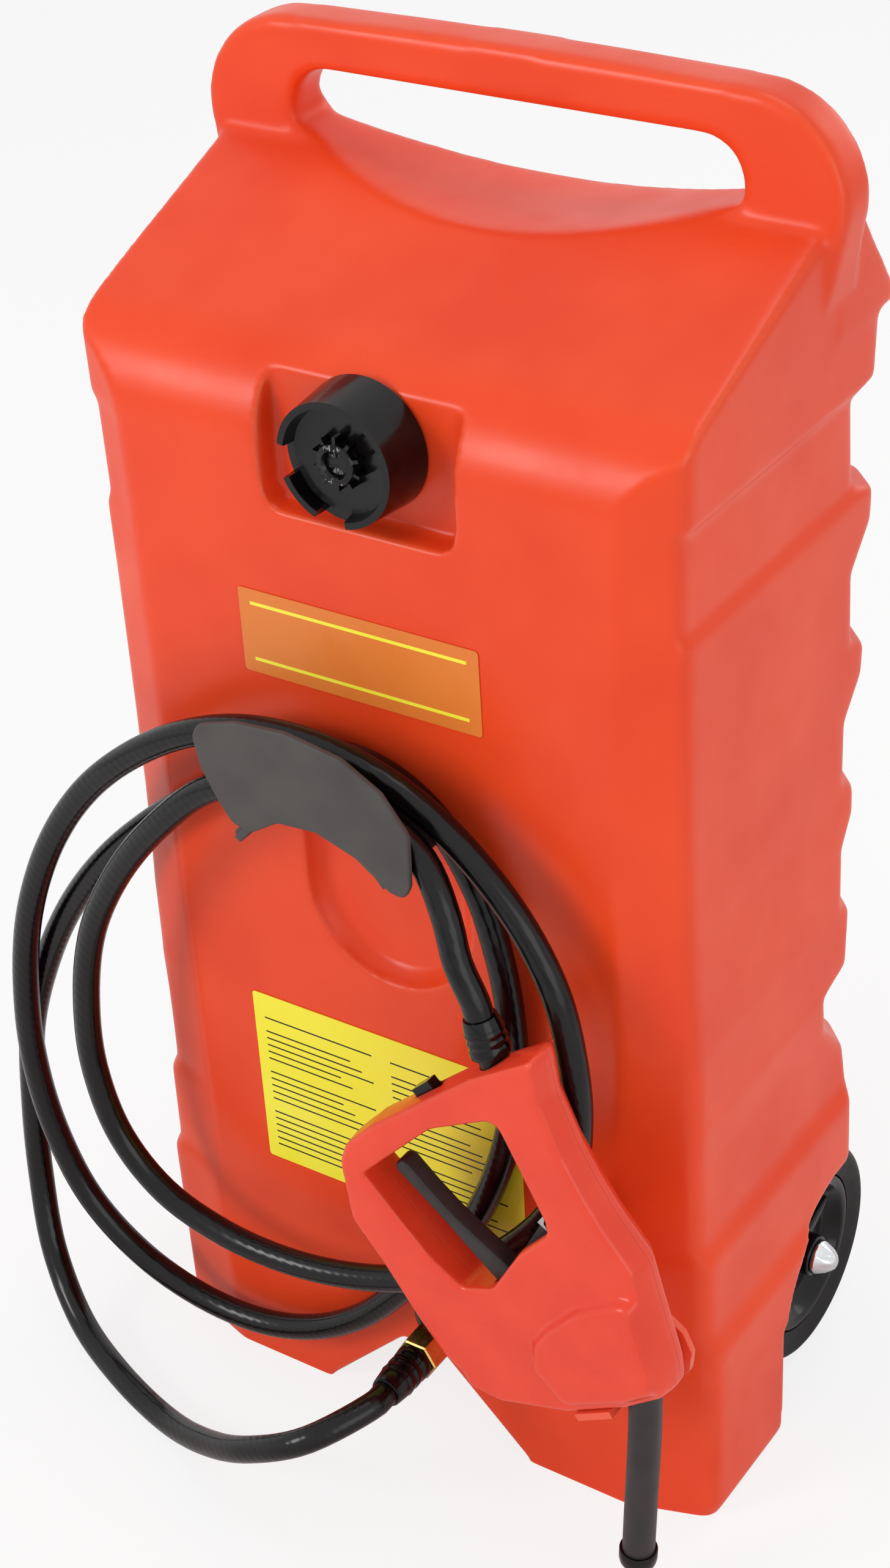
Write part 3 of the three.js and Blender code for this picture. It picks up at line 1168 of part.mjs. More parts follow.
// Holster: base on the tank, arm, round back plate and the shelf that the nozzle stands on
function makeHolster() {
  const plateBack = nozzleBack + gap + gap + holsterPlate;
  const [centreX, centreZ] = onNozzle(holsterCentre);
  const base = block(holsterLeft, holsterRight, -holsterBase.thickness - gap, -gap,
    holsterBase.bottom, holsterBase.bottom + holsterBase.height);
  const arm = slabSolid([
    [holsterLeft + holsterPlate, -holsterBase.thickness / 2], [holsterRight, -holsterBase.thickness / 2],
    [centreX, plateBack - holsterPlate / 4], [centreX - holsterRadius / 2, plateBack - holsterPlate / 4],
  ].reverse(), holsterArmHeight, { axes: new THREE.Matrix4(), at: [0, 0, holsterArmZ] });
  const plate = slabSolid(bar([centreX, centreZ], onNozzle(holsterLow), holsterRadius,
    holsterLowRadius, fineSides / 4), holsterPlate, { at: [0, plateBack, 0] });
  const foot = onNozzle(nozzleFoot);
  const rise = onNozzle(nozzleHeel);
  const heading = new THREE.Vector2(rise[0] - foot[0], rise[1] - foot[1]).normalize();
  const shelfPoint = (along, below) => [
    foot[0] + heading.x * along + heading.y * below, foot[1] + heading.y * along - heading.x * below];
  const shelfDepth = plateBack - nozzleFront;
  const below = gap + gap;
  const shelf = slabSolid([
    shelfPoint(holsterShelfStart, below + holsterShelf), shelfPoint(holsterShelfEnd, below + holsterShelf),
    shelfPoint(holsterShelfEnd, below), shelfPoint(holsterShelfStart, below),
  ], shelfDepth, { at: [0, plateBack, 0] });
  return cut(joined([base, arm, plate, shelf]), [
    ...holsterScrewPlaces.map(([x, z]) => turnedSolid(rodProfile(screwShank + screwHoleGap, -overrun, overrun),
      { count: 12, place: aimed([x, -holsterBase.thickness / 2, z], [0, 1, 0]) })),
  ]);
}
node("nozzle_holster", makeHolster(), pumpRed);
holsterScrewPlaces.forEach(([x, z], i) =>
  node(`holster_screw_${i + 1}`, screw(x, -holsterBase.thickness - gap - gap, z), steel));

// Hose: from the nozzle over the hanger, three loops on the tank's left, to the outlet
const inletEnd = inletStub + gap + inletCuffLength + gap;
const outletEnd = outletCuffStart + outletCuffLength + gap;
const onInlet = (along) => [inletRoot[0] + inletAim[0] * along, nozzleMiddle, inletRoot[1] + inletAim[2] * along];
const onOutlet = (along) => [outletCentreX, -along, outletCentreZ];
const hoseRoute = [
  [91, -60, 446], [82, -55, 470],
  [62, -47, 499], [30, -45, 517], [-8, -45, 522], [-48, -46, 517], [-88, -47, 500], [-128, -48, 464],
  [-166, -48, 417], [-196, -47, 362], [-211, -46, 304], [-214, -45, 246], [-200, -44, 193],
  [-169, -43, 158], [-124, -41, 140], [-78, -39, 136], [-36, -37, 141], [2, -35, 152], [36, -34, 168],
  [68, -33, 190], [98, -33, 219], [126, -34, 256], [145, -35, 297], [151, -35, 340],
  [148, -34, 382], [138, -33, 424], [118, -31, 459], [92, -30, 489], [60, -29, 514],
  [22, -29, 532], [-20, -30, 541], [-64, -31, 539], [-108, -32, 525], [-152, -33, 499], [-197, -33, 459],
  [-234, -33, 408], [-262, -33, 346], [-277, -32, 284], [-282, -31, 222], [-275, -29, 160],
  [-254, -26, 104], [-218, -22, 66], [-172, -18, 45], [-122, -15, 42], [-78, -13, 56], [-38, -12, 84],
  [-4, -12, 122], [28, -12, 162], [56, -12, 206], [78, -12, 258], [91, -12, 312], [93, -12, 368],
  [86, -12, 422], [72, -12, 466], [46, -12, 504], [8, -12, 524], [-34, -12, 523], [-78, -12, 503],
  [-120, -12, 470], [-165, -12, 434], [-208, -12, 392], [-246, -12, 342], [-276, -12, 286],
  [-298, -12, 226], [-308, -13, 164], [-306, -20, 102], [-288, -36, 50], [-250, -58, 18], [-198, -81, 9.4],
  [-144, -99, 10], [-94, -117, 31], [-46, -130, 60], [-2, -124, 86],
];
const straightStep = 2 * hoseRadius;
const hosePoints = [
  onInlet(inletEnd), onInlet(inletEnd + straightStep / 2), ...hoseRoute,
  onOutlet(outletEnd + straightStep / 2), onOutlet(outletEnd),
];
const hoseCurve = new THREE.CatmullRomCurve3(hosePoints.map((p) => new THREE.Vector3(...p)), false, "centripetal");
node("hose", tube(hosePoints, hoseRadius, hoseSides, hoseSteps), black);

// The least distance between two stretches of the hose, and its length
const checks = 600;
const spread = hoseCurve.getSpacedPoints(checks);
const hoseLength = hoseCurve.getLength();
const apart = Math.ceil((checks * 3 * straightStep) / hoseLength);
let least = Infinity;
for (let i = 0; i <= checks; i += 1) {
  for (let j = i + apart; j <= checks; j += 1) least = Math.min(least, spread[i].distanceTo(spread[j]));
}
console.log(`hose length ${hoseLength.toFixed(0)} mm, least gap to itself ${(least - 2 * hoseRadius).toFixed(2)} mm`);

// Origin at the middle of the rigid pieces' box, on the floor
const cordPieces = ["hose", "hose_inlet_cuff", "hose_outlet_cuff", "brass_coupling"];
const box = new THREE.Box3();
for (const mesh of group.children) {
  if (!cordPieces.includes(mesh.name)) box.expandByObject(mesh);
}
group.position.set(-(box.min.x + box.max.x) / 2, -(box.min.y + box.max.y) / 2, -box.min.z);
group.updateMatrixWorld(true);

export default group;
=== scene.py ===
"""Wheeled fuel transfer tank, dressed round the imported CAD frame."""

import math

import bmesh
import bpy
from bpy.props import FloatProperty, FloatVectorProperty, IntProperty, PointerProperty
from mathutils import Matrix, Vector


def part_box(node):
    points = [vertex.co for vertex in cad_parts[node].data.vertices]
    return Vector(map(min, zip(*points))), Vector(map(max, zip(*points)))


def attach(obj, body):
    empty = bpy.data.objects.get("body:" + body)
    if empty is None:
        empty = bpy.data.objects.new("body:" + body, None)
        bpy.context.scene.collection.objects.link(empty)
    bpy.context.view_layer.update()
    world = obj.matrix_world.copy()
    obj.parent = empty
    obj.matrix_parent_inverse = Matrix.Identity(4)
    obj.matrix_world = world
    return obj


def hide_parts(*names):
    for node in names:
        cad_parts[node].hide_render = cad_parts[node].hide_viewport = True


bl_info = {
    "name": "Fuel Transfer Tank",
    "version": (1, 0, 0),
    "blender": (4, 5, 0),
    "location": "3D View > Sidebar > Fuel Tank",
    "description": "Builds a wheeled fuel tank with its hose, hanger and hand pump nozzle",
    "category": "Add Mesh",
}

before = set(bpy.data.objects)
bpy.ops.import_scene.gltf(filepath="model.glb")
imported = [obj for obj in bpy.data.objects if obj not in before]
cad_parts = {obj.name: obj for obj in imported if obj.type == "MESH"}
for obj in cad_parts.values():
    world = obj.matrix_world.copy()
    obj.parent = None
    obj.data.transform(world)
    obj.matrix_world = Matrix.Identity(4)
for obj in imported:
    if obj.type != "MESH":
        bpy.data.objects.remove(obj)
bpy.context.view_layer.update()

MM = 0.001
# The makers work in millimetres from the tank's middle, its front face and the floor
AXLE_Y, AXLE_Z = 194.5, 76.0
TO_FRONT, TO_BACK = (0, -1, 0), (0, 1, 0)
_tank_low, _tank_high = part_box("tank_shell")
_axle_low, _axle_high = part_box("axle")
TANK_ORIGIN = Vector((
    (_tank_low.x + _tank_high.x) / 2, (_axle_low.y + _axle_high.y) / 2 - AXLE_Y * MM, 0.0))
FROM_MM = Matrix.Translation(TANK_ORIGIN) @ Matrix.Scale(MM, 4)


# ---- Colours and materials ----

def linear(code):
    """An sRGB hex value as linear red, green, blue and alpha."""
    parts = [int(code[i:i + 2], 16) / 255 for i in (1, 3, 5)]
    return tuple(c / 12.92 if c <= 0.04045 else ((c + 0.055) / 1.055) ** 2.4
                 for c in parts) + (1.0,)


def add(material, kind, settings=None, links=None):
    """Adds a shader node, sets its properties or sockets and links outputs into it."""
    node = material.node_tree.nodes.new(kind)
    for key, value in (settings or {}).items():
        if isinstance(key, str) and hasattr(node, key):
            setattr(node, key, value)
        else:
            node.inputs[key].default_value = value
    for key, output in (links or {}).items():
        material.node_tree.links.new(output, node.inputs[key])
    return node


def blank_material(name):
    """A node material with no nodes yet."""
    material = bpy.data.materials.new(name)
    material.use_nodes = True
    material.node_tree.nodes.clear()
    return material


def start_material(name):
    """A blank material and its object coordinates."""
    material = blank_material(name)
    where = add(material, "ShaderNodeTexCoord")
    return material, where.outputs["Object"]


def close_material(material, settings, colour, rough, bump):
    """Ends a material in one principled shader."""
    shader = add(material, "ShaderNodeBsdfPrincipled", settings, {
        "Base Color": colour, "Roughness": rough.outputs["Result"],
        "Normal": bump.outputs["Normal"]})
    add(material, "ShaderNodeOutputMaterial", None, {"Surface": shader.outputs["BSDF"]})
    return material


def mottled(material, where, low, high, size_mm, detail=3.0):
    """Two colours blended by cloudy noise whose patches are about the size in millimetres."""
    noise = add(material, "ShaderNodeTexNoise", {"Scale": 1 / (size_mm * MM), "Detail": detail},
                {"Vector": where})
    ramp = add(material, "ShaderNodeMapRange", {"From Min": 0.35, "From Max": 0.65},
               {"Value": noise.outputs["Fac"]})
    return add(material, "ShaderNodeMix", {"data_type": "RGBA", 6: low, 7: high},
               {0: ramp.outputs["Result"]})


def grain(material, where, size_mm, depth_mm, detail=2.0):
    """A bump of noise with this grain size and depth in millimetres."""
    noise = add(material, "ShaderNodeTexNoise", {"Scale": 1 / (size_mm * MM), "Detail": detail},
                {"Vector": where})
    return add(material, "ShaderNodeBump", {"Strength": 1.0, "Distance": depth_mm * MM},
               {"Height": noise.outputs["Fac"]})


def roughness_range(material, where, low, high, size_mm):
    """Roughness that drifts between two values in patches of the size in millimetres."""
    noise = add(material, "ShaderNodeTexNoise", {"Scale": 1 / (size_mm * MM), "Detail": 4.0},
                {"Vector": where})
    return add(material, "ShaderNodeMapRange",
               {"From Min": 0.3, "From Max": 0.7, "To Min": low, "To Max": high},
               {"Value": noise.outputs["Fac"]})


# Colour of the painted highlight laid on edges that stand out
PAINTED_EDGE_HIGHLIGHT = linear("#F5805A")


def moulded_plastic(name, body, pale, roughness, patch_mm, grain_mm=1.6, grain_depth=0.02,
                    edge_highlight=0.0, sheen=0.3):
    """Plastic out of a mould: clouds of colour, fine grain and, where asked, a painted highlight
    that makes its edges paler.
    """
    material, where = start_material(name)
    colour = mottled(material, where, body, pale, patch_mm).outputs[2]
    if edge_highlight:
        # Pointiness is 0.5 on flat faces and rises where an edge stands out; such edges get a
        # painted highlight, a paler colour
        shape = add(material, "ShaderNodeNewGeometry")
        edge = add(material, "ShaderNodeMapRange",
                   {"From Min": 0.515, "From Max": 0.57, "To Min": 0.0, "To Max": edge_highlight},
                   {"Value": shape.outputs["Pointiness"]})
        colour = add(material, "ShaderNodeMix", {"data_type": "RGBA", 7: PAINTED_EDGE_HIGHLIGHT},
                     {0: edge.outputs["Result"], 6: colour}).outputs[2]
    rough = roughness_range(material, where, roughness - 0.05, roughness + 0.06, patch_mm / 2)
    # The mould's own grain is finer; it is drawn this coarse so that it shows
    bump = grain(material, where, grain_mm, grain_depth)
    return close_material(material, {"IOR": 1.5, "Specular IOR Level": sheen}, colour, rough, bump)


def metal(name, body, pale, roughness, grain_mm, grain_depth):
    """Bare or plated metal with its tool marks or crystals as grain."""
    material, where = start_material(name)
    colour = mottled(material, where, body, pale, 6).outputs[2]
    rough = roughness_range(material, where, roughness * 0.8, roughness * 1.3, 4)
    # Tool marks and crystals are drawn coarser than they are, so that they show
    bump = grain(material, where, grain_mm, grain_depth)
    return close_material(material, {"Metallic": 1.0}, colour, rough, bump)


MATERIALS = {}


def make_materials(colours):
    """All finishes of the tank, each by the key that the makers use."""
    MATERIALS.update({
        # High-density polyethylene, blown in a mould: waxy, soft highlights, and a painted
        # highlight that makes its edges paler
        "tank": moulded_plastic("Blow-moulded polyethylene, orange red", tuple(colours.tank) + (1,),
                                linear("#E8421A"), 0.32, 90, 2.4, 0.015, 0.5),
        # Acetal, injection moulded: tighter gloss than the tank, and a painted highlight that makes
        # its edges paler
        "pump": moulded_plastic("Injection-moulded acetal, red", tuple(colours.pump) + (1,),
                                linear("#E53E24"), 0.24, 40, 1.2, 0.015, 0.3, 0.4),
        # Glass-filled nylon: matt grey with a fine spark-eroded grain
        "hanger": moulded_plastic("Moulded glass-filled nylon, grey", linear("#454140"),
                                  linear("#4E4A48"), 0.55, 30, 0.9, 0.03),
        # Nylon with carbon black: satin and almost black
        "trigger": moulded_plastic("Moulded nylon, dark grey", linear("#2A2526"), linear("#352F30"),
                                   0.42, 20, 1.0, 0.02),
        # Polypropylene closure: deep black with a clear gloss
        "black": moulded_plastic("Moulded polypropylene, black", linear("#080607"),
                                 linear("#0F0B0D"), 0.16, 20, 1.4, 0.015),
        # Tyre and seal rubber: dull, with a faint bloom
        "rubber": moulded_plastic("Moulded rubber, black", linear("#0E0B0C"), linear("#171315"),
                                  0.5, 12, 0.8, 0.03),
        # Printed vinyl film, laid on: even colour under a clear gloss
        "orange": moulded_plastic("Printed vinyl film, orange", linear("#E57A32"),
                                  linear("#E98238"), 0.3, 60, 3.0, 0.006),
        "yellow": moulded_plastic("Printed vinyl film, yellow", linear("#FBEF35"),
                                  linear("#FDF24A"), 0.3, 60, 3.0, 0.006),
        # Natural acetal of the pump's inner pieces: milky and smooth
        "white": moulded_plastic("Moulded acetal, natural white", linear("#D9D5CA"),
                                 linear("#E6E3DA"), 0.4, 12),
        # Zinc plate: pale with soft crystals
        "zinc": metal("Zinc-plated steel", linear("#A9ADB2"), linear("#C6C9CC"), 0.32, 0.7, 0.01),
        # Chromium plate: near mirror
        "chrome": metal("Chromium-plated steel", linear("#D8DADD"), linear("#E6E8EA"), 0.1, 3.0,
                        0.004),
        # Free-cutting brass, turned and milled: warm, with fine tool marks
        "brass": metal("Machined brass", linear("#C29A55"), linear("#D9B673"), 0.24, 0.5, 0.012),
        "hose": hose_rubber(),
    })


def hose_rubber():
    """Extruded nitrile rubber over a braid: glossy black in which the braid shows as ripples."""
    material, where = start_material("Extruded nitrile rubber, black")
    colour = mottled(material, where, linear("#060405"), linear("#0E0A0C"), 25).outputs[2]
    # The braid is finer than its ripples, which are drawn wide enough to show
    braid = add(material, "ShaderNodeTexWave",
                {"Scale": 1 / (14 * MM), "Distortion": 1.5, "Detail": 1.0,
                 "bands_direction": "DIAGONAL"}, {"Vector": where})
    rough = roughness_range(material, where, 0.16, 0.28, 20)
    bump = add(material, "ShaderNodeBump", {"Strength": 0.6, "Distance": 0.1 * MM},
               {"Height": braid.outputs["Fac"]})
    return close_material(material, {"IOR": 1.52, "Specular IOR Level": 0.3}, colour, rough, bump)


# ---- Mesh helpers; all lengths in millimetres until a piece is finished ----

def arc(x, y, radius, first, last, steps):
    """Points on an arc between two angles in degrees."""
    angles = [math.radians(first + (last - first) * i / steps) for i in range(steps + 1)]
    return [(x + radius * math.cos(a), y + radius * math.sin(a)) for a in angles]


def rounded(points, radius, steps):
    """The closed outline with its corners rounded off."""
    result = []
    for i, point in enumerate(points):
        p = Vector(point)
        to_last = Vector(points[i - 1]) - p
        to_next = Vector(points[(i + 1) % len(points)]) - p
        half = to_last.angle(to_next) / 2
        reach = min(radius / math.tan(half), 0.45 * to_last.length, 0.45 * to_next.length)
        start = p + to_last.normalized() * reach
        end = p + to_next.normalized() * reach
        for k in range(steps + 1):
            t = k / steps
            result.append(tuple(start * (1 - t) ** 2 + p * (2 * t * (1 - t)) + end * t ** 2))
    return result


def skin(bm, rings, closed=False):
    """Joins rings of points into a skin, with end caps unless the rings close on themselves."""
    levels = [[bm.verts.new(p) for p in ring] for ring in rings]
    count = len(levels[0])
    pairs = list(zip(levels, levels[1:]))
    if closed:
        pairs.append((levels[-1], levels[0]))
    for lower, upper in pairs:
        for i in range(count):
            j = (i + 1) % count
            bm.faces.new((lower[i], lower[j], upper[j], upper[i]))
    if not closed:
        bm.faces.new(list(reversed(levels[0])))
        bm.faces.new(levels[-1])
    return bm


def prism(outline, place):
    """A closed slab: place turns an outline point and 0 or 1 into the two ends' points."""
    bm = bmesh.new()
    return skin(bm, [[place(p, 0) for p in outline], [place(p, 1) for p in outline]])


def slab_front(outline, front, back):
    """A slab whose outline is in X and Z, between two depths."""
    return prism(outline, lambda p, end: (p[0], back if end else front, p[1]))


def slab_side(outline, left, right):
    """A slab whose outline is in Y and Z, between two sides."""
    return prism(outline, lambda p, end: (right if end else left, p[0], p[1]))


def box(x0, x1, y0, y1, z0, z1):
    """A plain box between its limits."""
    return slab_front([(x0, z0), (x1, z0), (x1, z1), (x0, z1)], y0, y1)


def mound(outline, inner, back, shoulder, front):
    """A slab that narrows to the inner outline between its shoulder and its front."""
    bm = bmesh.new()
    rings = [(outline, back), (outline, shoulder), (inner, front)]
    return skin(bm, [[(x, y, z) for x, z in ring] for ring, y in rings])


def inset(points, distance):
    """The closed outline moved inwards; a negative distance moves it outwards."""
    area = sum(a[0] * b[1] - b[0] * a[1] for a, b in zip(points, points[1:] + points[:1]))
    turn = 1 if area > 0 else -1
    result = []
    for i, point in enumerate(points):
        a = (Vector(point) - Vector(points[i - 1])).normalized()
        b = (Vector(points[(i + 1) % len(points)]) - Vector(point)).normalized()
        mitre = Vector((-a.y - b.y, a.x + b.x)) * turn
        # The lower limit keeps the mitre of a sharp corner short
        reach = distance / max(mitre.length_squared / 2, 0.35)
        result.append(tuple(Vector(point) + mitre * reach))
    return result


def normals(points):
    """The unit vector that leaves the closed outline at each of its points."""
    result = []
    for point, outer in zip(points, inset(points, -1.0)):
        away = Vector(outer) - Vector(point)
        result.append(tuple(away.normalized()) if away.length else (0.0, 0.0))
    return result


def bar(start, end, start_radius, end_radius, steps=10):
    """The outline of a bar between two round ends."""
    along = Vector(end) - Vector(start)
    heading = math.degrees(math.atan2(along.y, along.x))
    opening = math.degrees(math.acos((start_radius - end_radius) / along.length))
    return (arc(*end, end_radius, heading - opening, heading + opening, steps)
            + arc(*start, start_radius, heading + opening, heading + 360 - opening, steps))


def hull_slab(outlines, front, back):
    """The convex slab round several outlines in X and Z."""
    bm = bmesh.new()
    for x, z in [p for outline in outlines for p in outline]:
        bm.verts.new((x, front, z))
        bm.verts.new((x, back, z))
    made = bmesh.ops.convex_hull(bm, input=bm.verts)
    spare = {part for part in made["geom_interior"] + made["geom_unused"]
             if isinstance(part, bmesh.types.BMVert)}
    bmesh.ops.delete(bm, geom=list(spare), context="VERTS")
    return bm


def full_turn(sides):
    """The angles of the points round a ring."""
    return [2 * math.pi * k / sides for k in range(sides)]


def ring_round(point, side, other, radius, sides):
    """A ring of points about a point, in the plane of two directions."""
    return [point + (side * math.cos(a) + other * math.sin(a)) * radius for a in full_turn(sides)]


def pin(radius, point, direction, start, end, sides=48):
    """A solid round bar along a direction from a point."""
    return lathe([(0, start), (radius, start), (radius, end), (0, end)], point, direction, sides)


def thread(point, radius, wire, start, pitch, turns, steps=48):
    """A round thread ridge about an axis that faces the front."""
    count = round(turns * steps)
    line = []
    for i in range(count + 1):
        a = 2 * math.pi * i / steps
        line.append(Vector(point) + Vector((
            radius * math.sin(a), -(start + pitch * i / steps), -radius * math.cos(a))))
    # The ridge comes in thin at both ends
    return sweep(line, lambda share: wire * min(1, 0.35 + 8 * share, 0.35 + 8 * (1 - share)), 10)


def frame_at(point, direction):
    """A matrix whose Z axis runs along the direction from the point."""
    turn = Vector((0, 0, 1)).rotation_difference(Vector(direction)).to_matrix().to_4x4()
    return Matrix.Translation(Vector(point)) @ turn


def lathe(profile, point, direction, sides=64):
    """Turns a closed profile of radius and height about the axis through the point."""
    bm = bmesh.new()
    place = frame_at(point, direction)
    on_axis = [abs(r) < 1e-6 for r, _ in profile]
    rows = []
    for (radius, height), middle in zip(profile, on_axis):
        if middle:
            rows.append([bm.verts.new(place @ Vector((0, 0, height)))])
            continue
        ring = [Vector((radius * math.cos(a), radius * math.sin(a), height))
                for a in full_turn(sides)]
        rows.append([bm.verts.new(place @ p) for p in ring])
    for lower, upper in zip(rows, rows[1:] + rows[:1]):
        if len(lower) == 1 and len(upper) == 1:
            continue
        for k in range(sides):
            j = (k + 1) % sides
            corners = [row[i % len(row)]
                       for row, i in ((lower, k), (lower, j), (upper, j), (upper, k))]
            bm.faces.new(list(dict.fromkeys(corners)))
    return bm


def hexagon(across, height_from, height_to, point, direction, bevel=1.0):
    """A hexagonal nut blank with its chamfered corners."""
    bm = bmesh.new()
    place = frame_at(point, direction)
    radius = across / math.sqrt(3)
    rings = []
    for scale, height in ((1 - bevel / radius, height_from), (1, height_from + bevel),
                          (1, height_to - bevel), (1 - bevel / radius, height_to)):
        rings.append([place @ Vector((x * scale, y * scale, height))
                      for x, y in arc(0, 0, radius, 0, 360, 6)[:-1]])
    return skin(bm, rings)


def smooth_path(points, spacing):
    """Points along a centripetal spline through the points, about as far apart as the spacing."""
    pts = [Vector(p) for p in points]
    pts = [pts[0] * 2 - pts[1]] + pts + [pts[-1] * 2 - pts[-2]]
    line = []
    for a, b, c, d in zip(pts, pts[1:], pts[2:], pts[3:]):
        t1 = (b - a).length ** 0.5
        t2 = t1 + (c - b).length ** 0.5
        t3 = t2 + (d - c).length ** 0.5
        steps = max(1, round((c - b).length / spacing))
        for k in range(steps):
            t = t1 + (t2 - t1) * k / steps
            p = a * ((t1 - t) / t1) + b * (t / t1)
            q = b * ((t2 - t) / (t2 - t1)) + c * ((t - t1) / (t2 - t1))
            r = c * ((t3 - t) / (t3 - t2)) + d * ((t - t2) / (t3 - t2))
            u = p * ((t2 - t) / t2) + q * (t / t2)
            v = q * ((t3 - t) / (t3 - t1)) + r * ((t - t1) / (t3 - t1))
            line.append(u * ((t2 - t) / (t2 - t1)) + v * ((t - t1) / (t2 - t1)))
    line.append(pts[-2])
    return line


def sweep(line, radius_at, sides):
    """A tube along a line of points; radius_at gives its radius at each share of the line."""
    heading = (line[1] - line[0]).normalized()
    side = heading.orthogonal().normalized()
    rings = []
    for i, point in enumerate(line):
        ahead = line[min(i + 1, len(line) - 1)] - line[max(i - 1, 0)]
        new_heading = ahead.normalized()
        side = heading.rotation_difference(new_heading) @ side
        side = (side - new_heading * side.dot(new_heading)).normalized()
        heading = new_heading
        radius = radius_at(i / (len(line) - 1))
        rings.append(ring_round(point, side, heading.cross(side), radius, sides))
    return skin(bmesh.new(), rings)


def sweep_rings(line, radius, sides):
    """The rings of a tube whose line stays in one upright plane."""
    rings = []
    for i, point in enumerate(line):
        heading = (line[min(i + 1, len(line) - 1)] - line[max(i - 1, 0)]).normalized()
        side = Vector(TO_BACK)
        rings.append(ring_round(point, side, heading.cross(side), radius, sides))
    return rings


def loose(name, bm):
    """A working object in millimetres, not yet a piece."""
    bmesh.ops.recalc_face_normals(bm, faces=bm.faces)
    mesh = bpy.data.meshes.new(name)
    bm.to_mesh(mesh)
    bm.free()
    obj = bpy.data.objects.new(name, mesh)
    bpy.context.scene.collection.objects.link(obj)
    return obj


def apply_modifiers(obj):
    """Bakes the object's modifiers into its mesh."""
    depsgraph = bpy.context.evaluated_depsgraph_get()
    mesh = bpy.data.meshes.new_from_object(obj.evaluated_get(depsgraph))
    obj.modifiers.clear()
    old = obj.data
    obj.data = mesh
    bpy.data.meshes.remove(old)


def combine(base, parts, operation):
    """Joins, cuts or intersects the base with the parts, which are used up."""
    for part in parts:
        modifier = base.modifiers.new(operation.title(), "BOOLEAN")
        modifier.operation = operation
        modifier.solver = "MANIFOLD"
        modifier.object = part
    apply_modifiers(base)
    for part in parts:
        mesh = part.data
        bpy.data.objects.remove(part)
        bpy.data.meshes.remove(mesh)


def round_edges(obj, width, segments=3, angle=35):
    """Rounds the edges that are sharper than the angle."""
    edge = obj.modifiers.new("Edges", "BEVEL")
    edge.width = width
    edge.segments = segments
    edge.limit_method = "ANGLE"
    edge.angle_limit = math.radians(angle)
    apply_modifiers(obj)
    return obj


def soften(obj, voxel, rounds, above=None, more=0, fade=40):
    """Rounds every edge as a mould does: an even net of the voxel size, then smoothing.

    More rounds go over what lies above a height, and come in over the fade.
    """
    remesh = obj.modifiers.new("Net", "REMESH")
    remesh.mode = "VOXEL"
    remesh.voxel_size = voxel
    smooth = obj.modifiers.new("Smooth", "SMOOTH")
    smooth.factor = 0.5
    smooth.iterations = rounds
    apply_modifiers(obj)
    if above is None:
        return
    upper = obj.vertex_groups.new(name="Upper")
    for vert in obj.data.vertices:
        if vert.co.z > above:
            upper.add([vert.index], min(1.0, (vert.co.z - above) / fade), "REPLACE")
    again = obj.modifiers.new("Soft top", "SMOOTH")
    again.factor = 0.5
    again.iterations = more
    again.vertex_group = upper.name
    apply_modifiers(obj)
    obj.vertex_groups.clear()


def finish_piece(obj, material, body, nodes, crease=50.0):
    """Brings a piece from millimetres into place, shades it and ties it to the frame."""
    obj.data.transform(FROM_MM)
    bm = bmesh.new()
    bm.from_mesh(obj.data)
    limit = math.radians(crease)
    for face in bm.faces:
        face.smooth = True
    for edge in bm.edges:
        edge.smooth = not (len(edge.link_faces) == 2 and edge.calc_face_angle(0.0) > limit)
    bm.to_mesh(obj.data)
    bm.free()
    obj.data.materials.clear()
    obj.data.materials.append(MATERIALS[material])
    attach(obj, body)
    if nodes:
        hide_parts(*nodes)
    return obj


def dress(node, material, bevel):
    """Gives a carried-over CAD node its finish and softened edges."""
    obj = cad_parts[node]
    obj.data.materials.clear()
    obj.data.materials.append(MATERIALS[material])
    for face in obj.data.polygons:
        face.use_smooth = True
    # The CAD's triangles become flat faces again, so that the bevel finds the real edges
    weld = obj.modifiers.new("Weld", "WELD")
    weld.merge_threshold = 0.01 * MM
    flat = obj.modifiers.new("Flat faces", "DECIMATE")
    flat.decimate_type = "DISSOLVE"
    flat.angle_limit = math.radians(1)
    if bevel:
        edge = obj.modifiers.new("Edges", "BEVEL")
        edge.width = bevel * MM
        edge.segments = 2
        edge.limit_method = "ANGLE"
        edge.angle_limit = math.radians(32)
    shading = obj.modifiers.new("Normals", "WEIGHTED_NORMAL")
    shading.keep_sharp = True


# ---- The hose's route, as in the CAD model ----

# The nozzle's box, its middle plane and half its thickness; its outline is given in shares
NOZZLE = {"left": 7.0, "bottom": 136.0, "width": 230.0, "height": 275.0, "middle": -62.0,
          "half": 16.0}


def on_nozzle(u, v):
    """A place on the nozzle from shares of its width and height."""
    return NOZZLE["left"] + NOZZLE["width"] * u, NOZZLE["bottom"] + NOZZLE["height"] * v


# The hose leaves the nozzle leaning left, and both its ends sit in cuffs
INLET_ROOT = on_nozzle(0.462, 0.915)
INLET_LEAN = math.radians(16)
INLET_AIM = Vector((-math.sin(INLET_LEAN), 0, math.cos(INLET_LEAN)))
INLET_STUB = 5.0
INLET_CUFF = 24.0
OUTLET_X, OUTLET_Z = 24.0, 97.0
OUTLET_CUFF_START = 40.9
OUTLET_CUFF = 34.0
GAP = 0.3
HOSE_DIAMETER = 17.5
